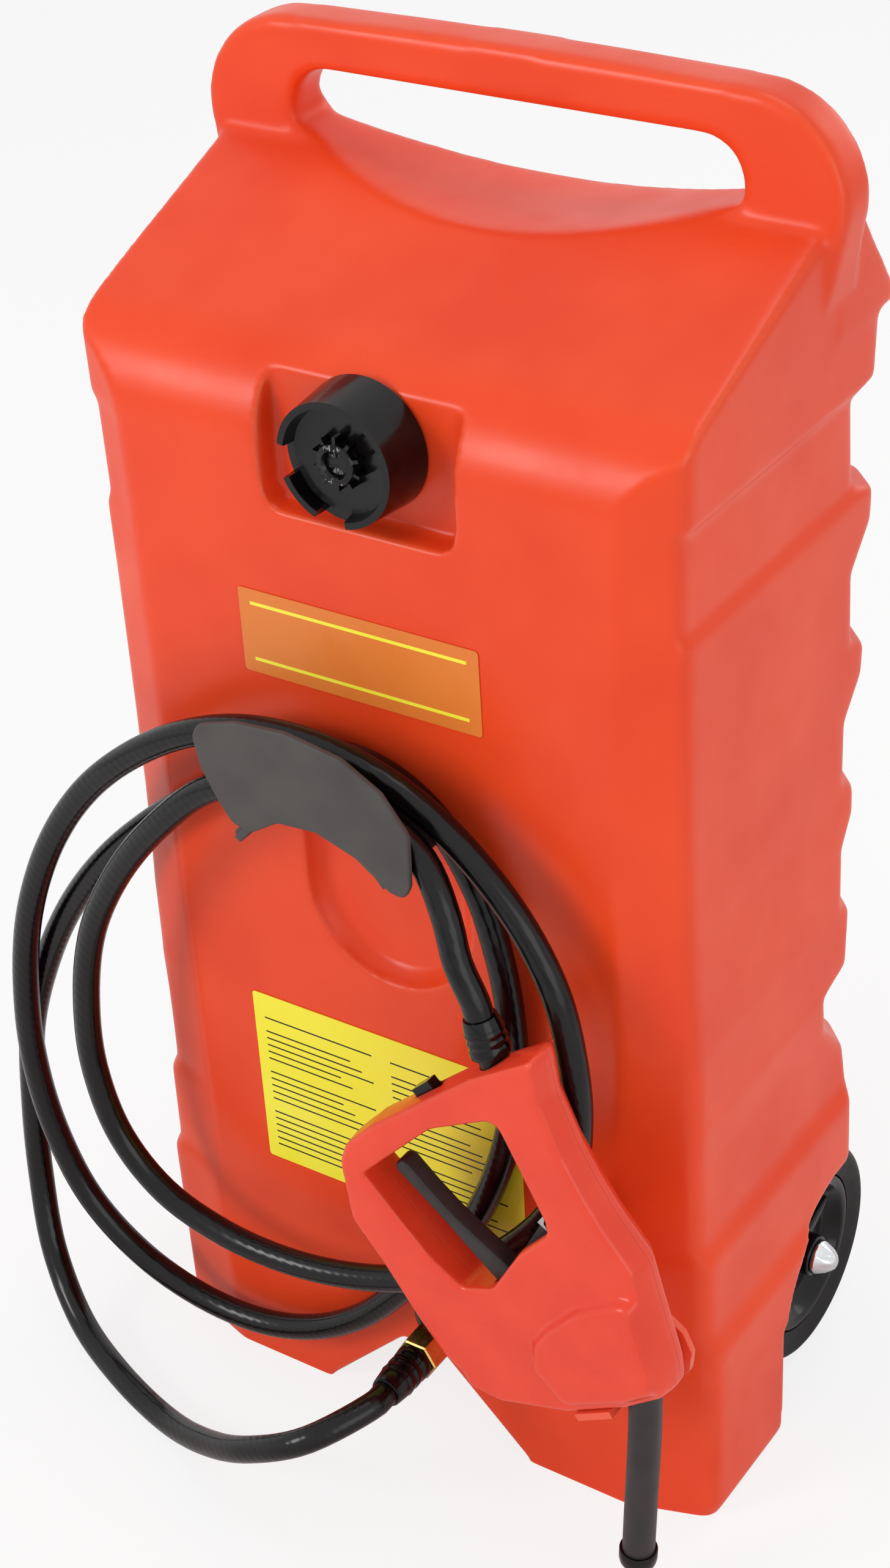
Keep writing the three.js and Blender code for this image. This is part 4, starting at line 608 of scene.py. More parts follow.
# Places on its centreline, from the nozzle three times round the hanger and to the outlet
HOSE_ROUTE = [
    (91, -60, 446), (82, -55, 470), (62, -47, 499), (30, -45, 517), (-8, -45, 522),
    (-48, -46, 517), (-88, -47, 500), (-128, -48, 464), (-166, -48, 417), (-196, -47, 362),
    (-211, -46, 304), (-214, -45, 246), (-200, -44, 193), (-169, -43, 158), (-124, -41, 140),
    (-78, -39, 136), (-36, -37, 141), (2, -35, 152), (36, -34, 168), (68, -33, 190),
    (98, -33, 219), (126, -34, 256), (145, -35, 297), (151, -35, 340), (148, -34, 382),
    (138, -33, 424), (118, -31, 459), (92, -30, 489), (60, -29, 514), (22, -29, 532),
    (-20, -30, 541), (-64, -31, 539), (-108, -32, 525), (-152, -33, 499), (-197, -33, 459),
    (-234, -33, 408), (-262, -33, 346), (-277, -32, 284), (-282, -31, 222), (-275, -29, 160),
    (-254, -26, 104), (-218, -22, 66), (-172, -18, 45), (-122, -15, 42), (-78, -13, 56),
    (-38, -12, 84), (-4, -12, 122), (28, -12, 162), (56, -12, 206), (78, -12, 258),
    (91, -12, 312), (93, -12, 368), (86, -12, 422), (72, -12, 466), (46, -12, 504), (8, -12, 524),
    (-34, -12, 523), (-78, -12, 503), (-120, -12, 470), (-165, -12, 434), (-208, -12, 392),
    (-246, -12, 342), (-276, -12, 286), (-298, -12, 226), (-307, -13, 164), (-305.2, -20, 102),
    (-288, -36, 50), (-250, -58, 18), (-198, -81, 10.6), (-144, -99, 11), (-94, -117, 31),
    (-46, -129.6, 60), (-2, -123.7, 86),
]


def on_inlet(along):
    """A point on the inlet's axis, in millimetres from the nozzle's edge."""
    return Vector((INLET_ROOT[0], NOZZLE["middle"], INLET_ROOT[1])) + INLET_AIM * along


def on_outlet(along):
    """A point on the outlet's axis, in millimetres in front of the tank."""
    return Vector((OUTLET_X, -along, OUTLET_Z))


def hose_line():
    """The hose's centreline in millimetres."""
    first = INLET_STUB + GAP + INLET_CUFF + GAP
    last = OUTLET_CUFF_START + OUTLET_CUFF + GAP
    return smooth_path([
        on_inlet(first), on_inlet(first + HOSE_DIAMETER / 2), *HOSE_ROUTE,
        on_outlet(last + HOSE_DIAMETER / 2), on_outlet(last)], 8)


# ---- The tank's form; a depth below its outer skin gives the inner one ----

# Height, half side, half front face and back of the body at each level. The lowest level
# lies below the floor: softening lifts the feet's edge, and they are cut level after it.
SOLE = -5
LEVELS = [
    (SOLE, 205, 152, 228), (8, 211, 157, 228), (138, 213, 158, 228), (150, 207, 157, 228),
    (208, 206.5, 157, 228), (220, 200.5, 157, 232), (248, 200, 157, 228), (277, 200, 157, 203),
    (306, 201, 157, 199), (314, 200.5, 157, 229), (353, 200, 157.5, 233), (361, 200, 158, 222),
    (400, 198, 158, 226), (420, 197.5, 158.5, 240), (438, 197, 158.5, 241), (447, 197, 159, 227),
    (490, 196.5, 159.5, 229), (514, 196.5, 160, 250), (533, 196.5, 160, 252),
    (541, 196.5, 160, 235), (588, 196.5, 161, 234), (614, 196.8, 161, 257), (634, 197, 161, 258),
    (642, 193.5, 161, 238), (700, 194.5, 163, 233), (706, 198.5, 163.4, 254),
    (760, 199.5, 167, 257), (840, 200.5, 169, 258),
]
# Depths of the slanted front corners and the back's cut corners, and the edges' radius
SLANT, BACK_CUT, EDGE_RADIUS = 17, 22, 12
# The shoulder's curve starts upright, ends in the roof's slope and runs up to the ridge
SHOULDER_RADIUS, SHOULDER_START, SLOPE = 62, 705, 22.6
RIDGE_HEIGHT, RIDGE_BACK, BODY_BACK, BACK_SLOPE_FOOT = 826, 198, 258, 745
# The saddle under the handle: half its width, height at its ends, dip and front
SADDLE_HALF, SADDLE_HEIGHT, SADDLE_DIP, SADDLE_FRONT = 148, 822, 23, 128
HANDLE_FRONT, HANDLE_BACK = 166, 200
HANDLE_CORNER, HANDLE_RADIUS, CROWN_HEIGHT, CROWN_FALL = 149, 62, 889, 6
# The tunnel between the feet: half its roof, half its foot and its height
TUNNEL_ROOF, TUNNEL_FOOT, TUNNEL_HEIGHT = 17, 79, 64
# The round pocket behind the hanger, and its narrower bottom
POCKET_RADIUS, POCKET_MIDDLE, POCKET_TOP, POCKET_DEPTH = 58, 418, 462, 13
POCKET_SHRINK, POCKET_CENTRE = 0.83, 411
# The flat pad round the neck, the step over the axle and the wheel wells
PAD_HALF, PAD_LOW = 64, 668
STEP_FRONT, STEP_HEIGHT = 107, 92
WELL_SIDE, WELL_RADIUS = 138, 84
# The webs that carry the axle, inside the wheel wells
WEB_RADIUS, WEB_TOP, WEB_THICK = 15, 96, 16
WALL = 5.5
WIDE = 219.0
BEHIND = 270
PAST = 6.0
NECK = (0.0, 17.0, 715.0)
# The handle is softened more than the body
SOFT_ABOVE, SOFT_MORE = 775, 34


def tank_ring(row, depth):
    """One level of the body's outline."""
    z, side, face, back = row
    side, face, slant, back = side - depth, face - depth / 2, SLANT + depth / 2, back - depth
    outline = [(-face, depth), (face, depth), (side, slant), (side, back - BACK_CUT),
               (side - BACK_CUT, back), (BACK_CUT - side, back), (-side, back - BACK_CUT),
               (-side, slant)]
    return [(x, y, max(z, depth or SOLE)) for x, y in rounded(outline, EDGE_RADIUS, 4)]


def shoulder_outline(depth):
    """Side view of the space under the shoulder, the ridge and the back slope."""
    curve = arc(SHOULDER_RADIUS, SHOULDER_START, SHOULDER_RADIUS - depth, 180, 90 + SLOPE, 16)
    slope = math.radians(SLOPE)
    ridge = RIDGE_HEIGHT - depth
    top = curve[-1][0] + (ridge + depth - depth / math.cos(slope) - curve[-1][1]) / math.tan(slope)
    past = BODY_BACK + 10
    return [(-PAST, -PAST), (-PAST, SHOULDER_START), *curve, (top, ridge),
            (RIDGE_BACK - depth, ridge), (BODY_BACK - depth, BACK_SLOPE_FOOT),
            (past, BACK_SLOPE_FOOT), (past, -PAST)]


def sagging(half, height, dip, steps=24):
    """The saddle's curve under the handle, left to right."""
    shares = [2 * i / steps - 1 for i in range(steps + 1)]
    return [(half * s, height - dip * (1 - s * s)) for s in shares]


def handle_form():
    """The carrying handle with its slot."""
    half = HANDLE_CORNER + HANDLE_RADIUS
    crown = [(half * s, CROWN_HEIGHT - CROWN_FALL * s * s) for s in (0.6, 0.3, 0, -0.3, -0.6)]
    outline = [(-194, 742), (194, 742), (202.6, 782),
               *arc(HANDLE_CORNER, 824.5, HANDLE_RADIUS, 0, 90, 16), *crown,
               *arc(-HANDLE_CORNER, 824.5, HANDLE_RADIUS, 90, 180, 16), (-202.6, 782)]
    handle = loose("handle", slab_front(outline, HANDLE_FRONT, HANDLE_BACK))
    slot = [*sagging(SADDLE_HALF, SADDLE_HEIGHT, SADDLE_DIP), *arc(124, 833, 24, 0, 90, 10),
            *arc(-124, 833, 24, 90, 180, 10)]
    combine(handle, [loose("slot", slab_front(slot, 150, 230))], "DIFFERENCE")
    return round_edges(handle, 13, 5, 60)


def gusset(hand):
    """The fill behind one leg of the handle, down to the body's back."""
    side = [(183, 745), (252, 745), (250, 757), (230, 786), (198, 838), (183, 826)]
    return slab_side(side, *sorted((hand * SADDLE_HALF, hand * 200)))


def tank_form(depth):
    """The body with all its recesses."""
    body = loose("body", skin(bmesh.new(), [tank_ring(row, depth) for row in LEVELS]))
    combine(body, [loose("under", slab_side(shoulder_outline(depth), -WIDE, WIDE))], "INTERSECT")
    half, above = SADDLE_HALF + depth, 900
    saddle = [*sagging(half, SADDLE_HEIGHT - depth, SADDLE_DIP), (half, above), (-half, above)]
    roof, foot, rise = TUNNEL_ROOF + depth / 2, TUNNEL_FOOT + depth, TUNNEL_HEIGHT + depth
    tunnel = [(-foot - PAST, -PAST), (foot + PAST, -PAST), (roof, rise), (-roof, rise)]
    rim, top = POCKET_RADIUS + depth, POCKET_TOP + depth
    pocket = [(-rim, top), *arc(0, POCKET_MIDDLE, rim, 180, 360, 24), (rim, top)]
    deep = [(x * POCKET_SHRINK, POCKET_CENTRE + (z - POCKET_CENTRE) * POCKET_SHRINK)
            for x, z in pocket]
    pad, low = PAD_HALF + depth, PAD_LOW - depth
    corners = [(-pad, low), (pad, low), (pad, above), (-pad, above)]
    parts = [
        slab_front(saddle, SADDLE_FRONT - depth, BEHIND), slab_front(tunnel, -PAST, BEHIND),
        mound(pocket[::-1], deep[::-1], -10, 3 + depth, POCKET_DEPTH + depth),
        slab_front(rounded(corners, 14, 5), -20, NECK[1] + depth),
        box(-WIDE, WIDE, STEP_FRONT - depth, BEHIND, -PAST, STEP_HEIGHT + depth),
    ]
    for hand in (-1, 1):
        near, far = hand * (WELL_SIDE - depth), hand * (WIDE + 1)
        left, right = sorted((near, far))
        radius = WELL_RADIUS + depth
        parts += [
            pin(radius, (near, AXLE_Y, AXLE_Z), (hand, 0, 0), 0, abs(far - near), 96),
            box(left, right, AXLE_Y - radius, BEHIND, -PAST, AXLE_Z),
            box(left, right, AXLE_Y, BEHIND, -PAST, AXLE_Z + radius),
        ]
    combine(body, [loose("cut", part) for part in parts], "DIFFERENCE")
    return body


# ---- The nozzle's form; shares are of its width from the left and its height from below ----

NOZZLE_SHARES = [
    (0.613, 1), (0.426, 0.895), (0.104, 0.662), (0.022, 0.585), (0, 0.531), (0.022, 0.371),
    (0.109, 0.280), (0.213, 0.153), (0.291, 0.069), (0.348, 0.040), (0.365, 0.007), (0.470, 0),
    (0.683, 0.055), (0.865, 0.142), (0.978, 0.215), (0.972, 0.281), (0.948, 0.356),
    (0.922, 0.437), (0.895, 0.527), (0.811, 0.615), (0.757, 0.684), (0.702, 0.767),
    (0.641, 0.891), (0.625, 0.985),
]
GRIP_SHARES = [
    (0.070, 0.513), (0.217, 0.644), (0.296, 0.713), (0.496, 0.804), (0.630, 0.578),
    (0.635, 0.542), (0.543, 0.455), (0.457, 0.327), (0.361, 0.295), (0.261, 0.349),
    (0.091, 0.498),
]
BULGE_SHARES = [
    (0.583, 0.169), (0.683, 0.090), (0.870, 0.174), (0.952, 0.228), (0.945, 0.290),
    (0.918, 0.375), (0.892, 0.462), (0.843, 0.453), (0.726, 0.387), (0.626, 0.291),
    (0.587, 0.235),
]
SCREW_SHARES = [(0.578, 0.905), (0.187, 0.287), (0.352, 0.131), (0.790, 0.270), (0.675, 0.620)]
# The trigger turns by its swing about the pivot, with its blade to the left and its arm above
PIVOT = on_nozzle(0.509, 0.327)
BLADE_END = on_nozzle(0.187, 0.556)
ARM_END = on_nozzle(0.626, 0.553)
SWING = 18.0
SPOUT_ROOT = on_nozzle(0.874, 0.235)
SPOUT_BEND = on_nozzle(0.867, 0.033)
SPOUT_TIP = on_nozzle(0.835, -0.371)
NOZZLE_Y = NOZZLE["middle"]
# The nozzle's upper right is widest in a band about the middle plane. In front of the band
# and behind it, each millimetre of depth takes these shares off, and less off its top.
BAND_FRONT, BAND_BACK, NARROW_FRONT, NARROW_BACK, NARROW_TOP = 4, 5, 0.34, 0.85, 0.7
# The shells' wall, half the hollow between them, and half the slots for trigger and latch
SHELL_WALL, HOLLOW_HALF, TRIGGER_SLOT, LATCH_SLOT = 3.2, 13, 8.5, 5
SHELL_ROUNDS = 16
# The two ends of the latch's slide, with a window at each
LATCH_LOW, LATCH_HIGH = on_nozzle(0.161, 0.650), on_nozzle(0.309, 0.767)
SPOUT_RADIUS, SPOUT_BORE, SPOUT_HOLE, INLET_HOLE, PISTON_HOLE = 10.2, 8.4, 10.8, 9.4, 10.3


def swung(point, degrees):
    """A point of the trigger after it has turned about its pivot."""
    a = -math.radians(degrees)
    x, z = point[0] - PIVOT[0], point[1] - PIVOT[1]
    return (PIVOT[0] + x * math.cos(a) - z * math.sin(a),
            PIVOT[1] + x * math.sin(a) + z * math.cos(a))


def along(start, end):
    """The direction in X and Z from one place to another, as a vector in space."""
    return Vector((end[0] - start[0], 0, end[1] - start[1])).normalized()


def at_nozzle(place):
    """A place in X and Z as a point in the nozzle's middle plane."""
    return Vector((place[0], NOZZLE_Y, place[1]))


def slab_nozzle(outline, half):
    """A slab as thick on both sides of the nozzle's middle plane."""
    return slab_front(outline, NOZZLE_Y - half, NOZZLE_Y + half)


def narrowed(points, half):
    """The same slab with its upper right narrowed in front and at the back."""
    away = normals(points)
    rings = []
    for y in (NOZZLE_Y - half, NOZZLE_Y - BAND_FRONT, NOZZLE_Y + BAND_BACK, NOZZLE_Y + half):
        shift = (NARROW_FRONT * max(0.0, NOZZLE_Y - BAND_FRONT - y)
                 + NARROW_BACK * max(0.0, y - NOZZLE_Y - BAND_BACK))
        rings.append([(x - shift * max(0, u), y, z - NARROW_TOP * shift * max(0, v))
                      for (x, z), (u, v) in zip(points, away)])
    return skin(bmesh.new(), rings)


def nozzle_form(voxel, rounds):
    """Both shells in one, softened like a moulding and still solid."""
    outline = rounded([on_nozzle(*s) for s in NOZZLE_SHARES], 11, 5)
    grip = rounded([on_nozzle(*s) for s in GRIP_SHARES], 9, 5)
    whole = loose("nozzle", narrowed(outline, NOZZLE["half"]))
    combine(whole, [loose("grip", slab_nozzle(grip, NOZZLE["half"] + 5))], "DIFFERENCE")
    round_edges(whole, 6.5, 3, 50)
    front = NOZZLE_Y - NOZZLE["half"]
    bulge = [on_nozzle(*s) for s in BULGE_SHARES]
    combine(whole, [loose("bulge", mound(rounded(bulge, 10, 5), rounded(inset(bulge, 3.5), 7, 5),
                                         front + 8, front - 2, front - 8))], "UNION")
    soften(whole, voxel, rounds)
    return whole


def nozzle_cuts(front):
    """What both shells leave free inside: room for the pump, slots and holes."""
    inner = inset([on_nozzle(*s) for s in NOZZLE_SHARES], SHELL_WALL)
    hollow = loose("hollow", narrowed(rounded(inner, 7, 2), HOLLOW_HALF))
    grip = rounded(inset([on_nozzle(*s) for s in GRIP_SHARES], -SHELL_WALL), 7, 2)
    combine(hollow, [loose("grip", slab_nozzle(grip, 20))], "DIFFERENCE")
    round_edges(hollow, 3, 1, 60)
    # The trigger's slots are the hulls of its blade and its arm over the swing
    low, high = NOZZLE_Y - TRIGGER_SLOT, NOZZLE_Y + TRIGGER_SLOT
    blades = [bar(PIVOT, swung(BLADE_END, a), 10.5, 8.5) for a in (0, SWING / 2, SWING)]
    arms = [bar(PIVOT, swung(ARM_END, a), 10.5, 9) for a in (0, SWING / 2, SWING)]
    parts = [hull_slab(blades, low, high), hull_slab(arms, low, high)]
    start, end = Vector(LATCH_LOW), Vector(LATCH_HIGH)
    heading = (end - start).normalized()
    outwards = Vector((-heading.y, heading.x))
    for middle, half, first, last in ((end - heading * 4, 13, 0, 20.5),
                                      (start + heading * 4, 9.5, -12.5, 0)):
        corners = [middle + heading * u + outwards * v
                   for u, v in ((-half, first), (half, first), (half, last), (-half, last))]
        parts.append(slab_nozzle([tuple(c) for c in corners], LATCH_SLOT))
    spout = along(SPOUT_ROOT, SPOUT_BEND)
    parts.append(pin(SPOUT_HOLE, at_nozzle(SPOUT_ROOT), spout, -PAST, 54))
    parts.append(pin(INLET_HOLE, on_inlet(0), INLET_AIM, -18, 18))
    # Room for the piston and its seal over their stroke
    stroke = along(ARM_END, swung(ARM_END, SWING))
    parts.append(pin(PISTON_HOLE, at_nozzle(ARM_END), stroke, 30, 62.3))
    if not front:
        parts += [pin(3.7, (x, NOZZLE_Y + HOLLOW_HALF, z), TO_BACK, 0, PAST)
                  for x, z in (on_nozzle(*s) for s in SCREW_SHARES)]
    return [hollow] + [loose("cut", part) for part in parts]


# ---- The fittings' forms; a profile holds radii and heights along its axis ----

THREAD_PITCH = 8
NECK_PROFILE = [(25, -3), (30, -3), (30, 18), (29, 19), (25.6, 19), (25, 18.4)]
NECK_BORE, AXLE_HOLE, OUTLET_HOLE = 25, 5.4, 10.8

CAP_PROFILE = [(34.7, 1.5), (40, 1.5), (37, 34), (33, 34), (32.6, 33), (31.2, 25.6), (28, 24.8),
               (0, 24.8), (0, 21.9), (34.7, 21.9)]
HUB_PROFILE = [(0, 25.1), (12.8, 25.1), (12.8, 31.2), (11.8, 32.6), (8.4, 33.1), (7.4, 32),
               (6.6, 29.4), (0, 29)]
HUB_RIBS = 10
# Directions in degrees of the notches' middles, half their opening and the radius they reach
CAP_NOTCHES, NOTCH_HALF, NOTCH_RADIUS = (187, 262), 16, 31

RIM_PROFILE = [(8, -9), (14, -9), (14, 8), (40.5, 16), (48.4, 7.6), (55.4, 3.8), (55.4, 34.2),
               (53, 35.4), (48.4, 34.4), (46, 30), (40.8, 23.6), (20, 22.2), (14.5, 25), (14, 40.2),
               (8, 40.2)]
SPOKE = [(-4.6, 13), (4.6, 13), (3.4, 47.5), (-3.4, 47.5)]
SPOKES, SPOKE_INNER, SPOKE_OUTER = 5, 19, 27.5
END_CAP_PROFILE = [(5.3, 40.8), (12, 40.8), (12, 43), (11.4, 44.2), (10, 47.4), (8.4, 50.4),
                   (5.6, 53.6), (3.4, 54.8), (0, 55), (0, 47.5), (5.3, 47.5)]
# A wheel's inner side from the tank's middle; its tyre's shoulders and their radius
WHEEL_X = 149
TYRE_SHOULDER, SHOULDER_ROUND = 68.4, 8
# The end cap's flutes: how many, their depth as a share, where they start and how fast
FLUTES, FLUTE_DEPTH, FLUTE_START, FLUTE_RUN, END_CAP_BORE = 6, 0.16, 192, 12, 5.4

OUTLET_PROFILE = [(6.5, -14), (10.2, -14), (10.2, 0.3), (25.2, 0.3), (26, 1.1), (26, 3.2),
                  (25.2, 4.2), (20.8, 6.3), (13, 6.3), (12, 7.3), (12, 15.9), (11.6, 16.3),
                  (6.5, 16.3)]
COUPLING_START, COUPLING_LENGTH, COUPLING_ACROSS = 16.6, 24, 26
TIP_RING_PROFILE = [(10.55, -9), (11.6, -9), (12, -8.4), (12, -1), (11.5, 1.4), (10.4, 2),
                    (8.6, 2), (8.3, 1.6), (8.3, 0.35), (10.55, 0.35)]

# The hanger's round saddle about its axis, and its crescent plate as shares of a box
HANGER_X, HANGER_Z, HANGER_RADIUS = -8, 444, 66
CRESCENT_LEFT, CRESCENT_LOW, CRESCENT_WIDTH, CRESCENT_HEIGHT = -83.5, 479, 147, 87
HANGER_SHARES = [
    (0, 0.759), (0.027, 0.862), (0.218, 0.966), (0.449, 1), (0.707, 0.931), (0.884, 0.759),
    (1, 0.494), (0.993, 0.103), (0.966, 0), (0.898, 0.011), (0.748, 0.195), (0.565, 0.299),
    (0.381, 0.276), (0.245, 0.126), (0.156, 0.161), (0.095, 0.310), (0.027, 0.529),
]

# Depths of a sticker's back and face, and the ink's height on it
STICKER_BACK, STICKER_FACE, INK = -0.3, -0.8, 0.04
# Printed rules: left, low, length and thickness, from the sticker's lower left corner
LONG_RULES = [(8, 8, 148, 2.2), (8, 44.8, 148, 2.2)]
SHORT_RULES = [(8 + 96 * column, 114 - 5.4 * row, 82 - 17 * ((row * 7 + column * 3) % 4) / 2, 1.1)
               for column in (0, 1) for row in range(20) if row not in (1, 7, 13)]
# Node, film, slot, middle in X and Z, width, height, and the rules' finish, slot and places
STICKERS = [
    ("front_sticker", "orange", "orange_film", -6, 585, 164, 55,
     ("yellow", "yellow_film", LONG_RULES)),
    ("lower_sticker", "yellow", "yellow_film", -12, 250, 198, 133,
     ("black", "black_gloss", SHORT_RULES)),
]

# The trigger's hub, the blade's bow, rise, taper and flare, and its round tip
TRIGGER_HUB, TRIGGER_HALF, BLADE_STEPS = 9, 7, 24
BLADE_BOW, BLADE_RISE, BLADE_TAPER, BLADE_FLARE, BLADE_TIP = 1.5, 4.5, 4.6, 0.8, 5.2

# Nodes that keep the CAD's shape, their finish and the width of their softened edges
CARRIED = [
    ("cap_seal", "rubber", 0.3), ("axle", "zinc", 0.6), ("outlet_nut", "black", 0.6),
    ("outlet_strainer", "white", 0.3), ("trigger_pin", "zinc", 0.3), ("trigger_spring", "zinc", 0),
    ("trigger_latch", "black", 1.2), ("pump_cylinder", "white", 0.4), ("piston", "white", 0.2),
    ("piston_seal", "rubber", 0.2), ("piston_rod", "zinc", 0.4), ("outlet_housing", "white", 0.3),
    ("outlet_valve", "zinc", 0), ("feed_tube", "rubber", 0.2), ("inlet_fitting", "black", 0.4),
    ("spout_collar", "black", 0.3), ("nozzle_holster", "pump", 1.3),
    *[(f"hanger_screw_{i}", "zinc", 0.3) for i in (1, 2, 3)],
    *[(f"holster_screw_{i}", "zinc", 0.3) for i in (1, 2)],
    *[(f"shell_screw_{i}", "zinc", 0.3) for i in (1, 2, 3, 4, 5)],
    *[(f"{side}_{piece}", material, 0.3) for side in ("left", "right")
      for piece, material in (("bush", "white"), ("washer", "zinc"))],
]


def cuff_profile(length):
    """A swaged cuff with three gripping rings, tapering onto the hose."""
    profile = [(6.6, 0), (12.0, 0), (12.5, 0.6), (12.5, 3)]
    for k in range(3):
        start = length * (0.22 + 0.2 * k)
        profile += [(12.2, start), (11.6, start + 1), (11.6, start + 2.4),
                    (12.1 - 0.3 * k, start + 3.4)]
    profile += [(10.4, length - 1), (10.0, length), (6.6, length)]
    return profile


def tyre_shoulder(height, first):
    """The round shoulder between a tyre's side and its tread."""
    return [(TYRE_SHOULDER + (u - SHOULDER_ROUND) * 0.95, v)
            for u, v in arc(SHOULDER_ROUND, height, SHOULDER_ROUND, first, first + 90, 8)]


def tyre_profile():
    """A tyre with round shoulders and a groove round its tread."""
    return [(56, 3.8), (64, 1.6), (TYRE_SHOULDER, 0), *tyre_shoulder(8, 270),
            (76, 12), (76, 17.2), (74.6, 18), (74.6, 20), (76, 20.8), (76, 26),
            *tyre_shoulder(30, 0), (64, 36.4), (56, 34.2)]


def flute(cap):
    """Presses flutes into the outer part of a wheel's end cap, but not into its bore."""
    for vert in cap.verts:
        y, z = vert.co.y - AXLE_Y, vert.co.z - AXLE_Z
        rise = 0.0
        if math.hypot(y, z) > END_CAP_BORE:
            rise = max(0.0, (abs(vert.co.x) - FLUTE_START) / FLUTE_RUN)
        wave = 0.5 - 0.5 * math.cos(FLUTES * math.atan2(y, z))
        shrink = 1 - FLUTE_DEPTH * min(1.0, rise) * wave
        vert.co.y = AXLE_Y + y * shrink
        vert.co.z = AXLE_Z + z * shrink
    return cap


def blade_outline():
    """The trigger's blade from its hub to its round tip."""
    start, end = Vector(PIVOT), Vector(BLADE_END)
    heading = (end - start).normalized()
    normal = Vector((-heading.y, heading.x))
    upper, lower = [], []
    for i in range(BLADE_STEPS + 1):
        t = i / BLADE_STEPS
        middle = start + (end - start) * t + normal * (BLADE_BOW * math.sin(math.pi * t)
                                                       + BLADE_RISE * t)
        # It tapers until just past its middle and flares over its last fifth
        half = TRIGGER_HUB - BLADE_TAPER * min(1, t * 1.7) + BLADE_FLARE * max(0, t - 0.8) * 5
        upper.append(tuple(middle + normal * half))
        lower.append(tuple(middle - normal * half))
    tip = end + normal * BLADE_RISE
    turn = math.degrees(math.atan2(heading.y, heading.x))
    return [*lower, *arc(tip.x, tip.y, BLADE_TIP, turn - 80, turn + 80, 8), *reversed(upper),
            *arc(*PIVOT, TRIGGER_HUB, turn + 90, turn + 270, 14)[1:-1]]


# ---- Settings ----

class TankColours(bpy.types.PropertyGroup):
    """Colours that a user would change."""

    tank: FloatVectorProperty(name="Tank", description="Colour of the blow-moulded tank",
                              subtype="COLOR", size=3, min=0, max=1, default=linear("#F04A20")[:3])
    pump: FloatVectorProperty(name="Pump", description="Colour of the nozzle's shells and holster",
                              subtype="COLOR", size=3, min=0, max=1, default=linear("#EC4428")[:3])
    floor: FloatVectorProperty(name="Floor", description="Colour of the studio floor",
                               subtype="COLOR", size=3, min=0, max=1, default=(0.9, 0.9, 0.9))


class TankSizes(bpy.types.PropertyGroup):
    """Sizes that a user would change."""

    net: FloatProperty(name="Tank net", description="Size of the faces of the tank's skin",
                       unit="LENGTH", default=0.0022, min=0.002, max=0.01)
    softness: IntProperty(name="Tank softness",
                          description="Rounds of smoothing on the tank's edges",
                          default=11, min=0, max=60)
    shell_net: FloatProperty(name="Nozzle net",
                             description="Size of the faces of the nozzle's shells",
                             unit="LENGTH", default=0.0014, min=0.0008, max=0.004)
    hose_sides: IntProperty(name="Hose sides", description="Faces round the hose",
                            default=24, min=8, max=48)


# ---- Operators ----

# The camera as solved from the tank's edges, in millimetres and degrees
CAMERA_PLACE, CAMERA_LENS = (859.475, -1142.409, 1406.577), 67.117
CAMERA_TURN = (57.574100, 3.204652, 33.355150)
# Name, place, aim and size in metres, and power in watts
LAMPS = [
    ("Key light", (-1.5, -2.4, 1.7), (0, 0, 0.35), 1.0, 31),
    ("Fill light", (2.5, -1.3, 1.1), (0, 0, 0.35), 1.8, 15),
    ("Top light", (0.2, 0.4, 3.0), (0, 0, 0.5), 1.2, 9),
    ("Back light", (0.8, 2.6, 1.6), (0, 0, 0.5), 1.4, 9),
]
WHITE = (1, 1, 1, 1)


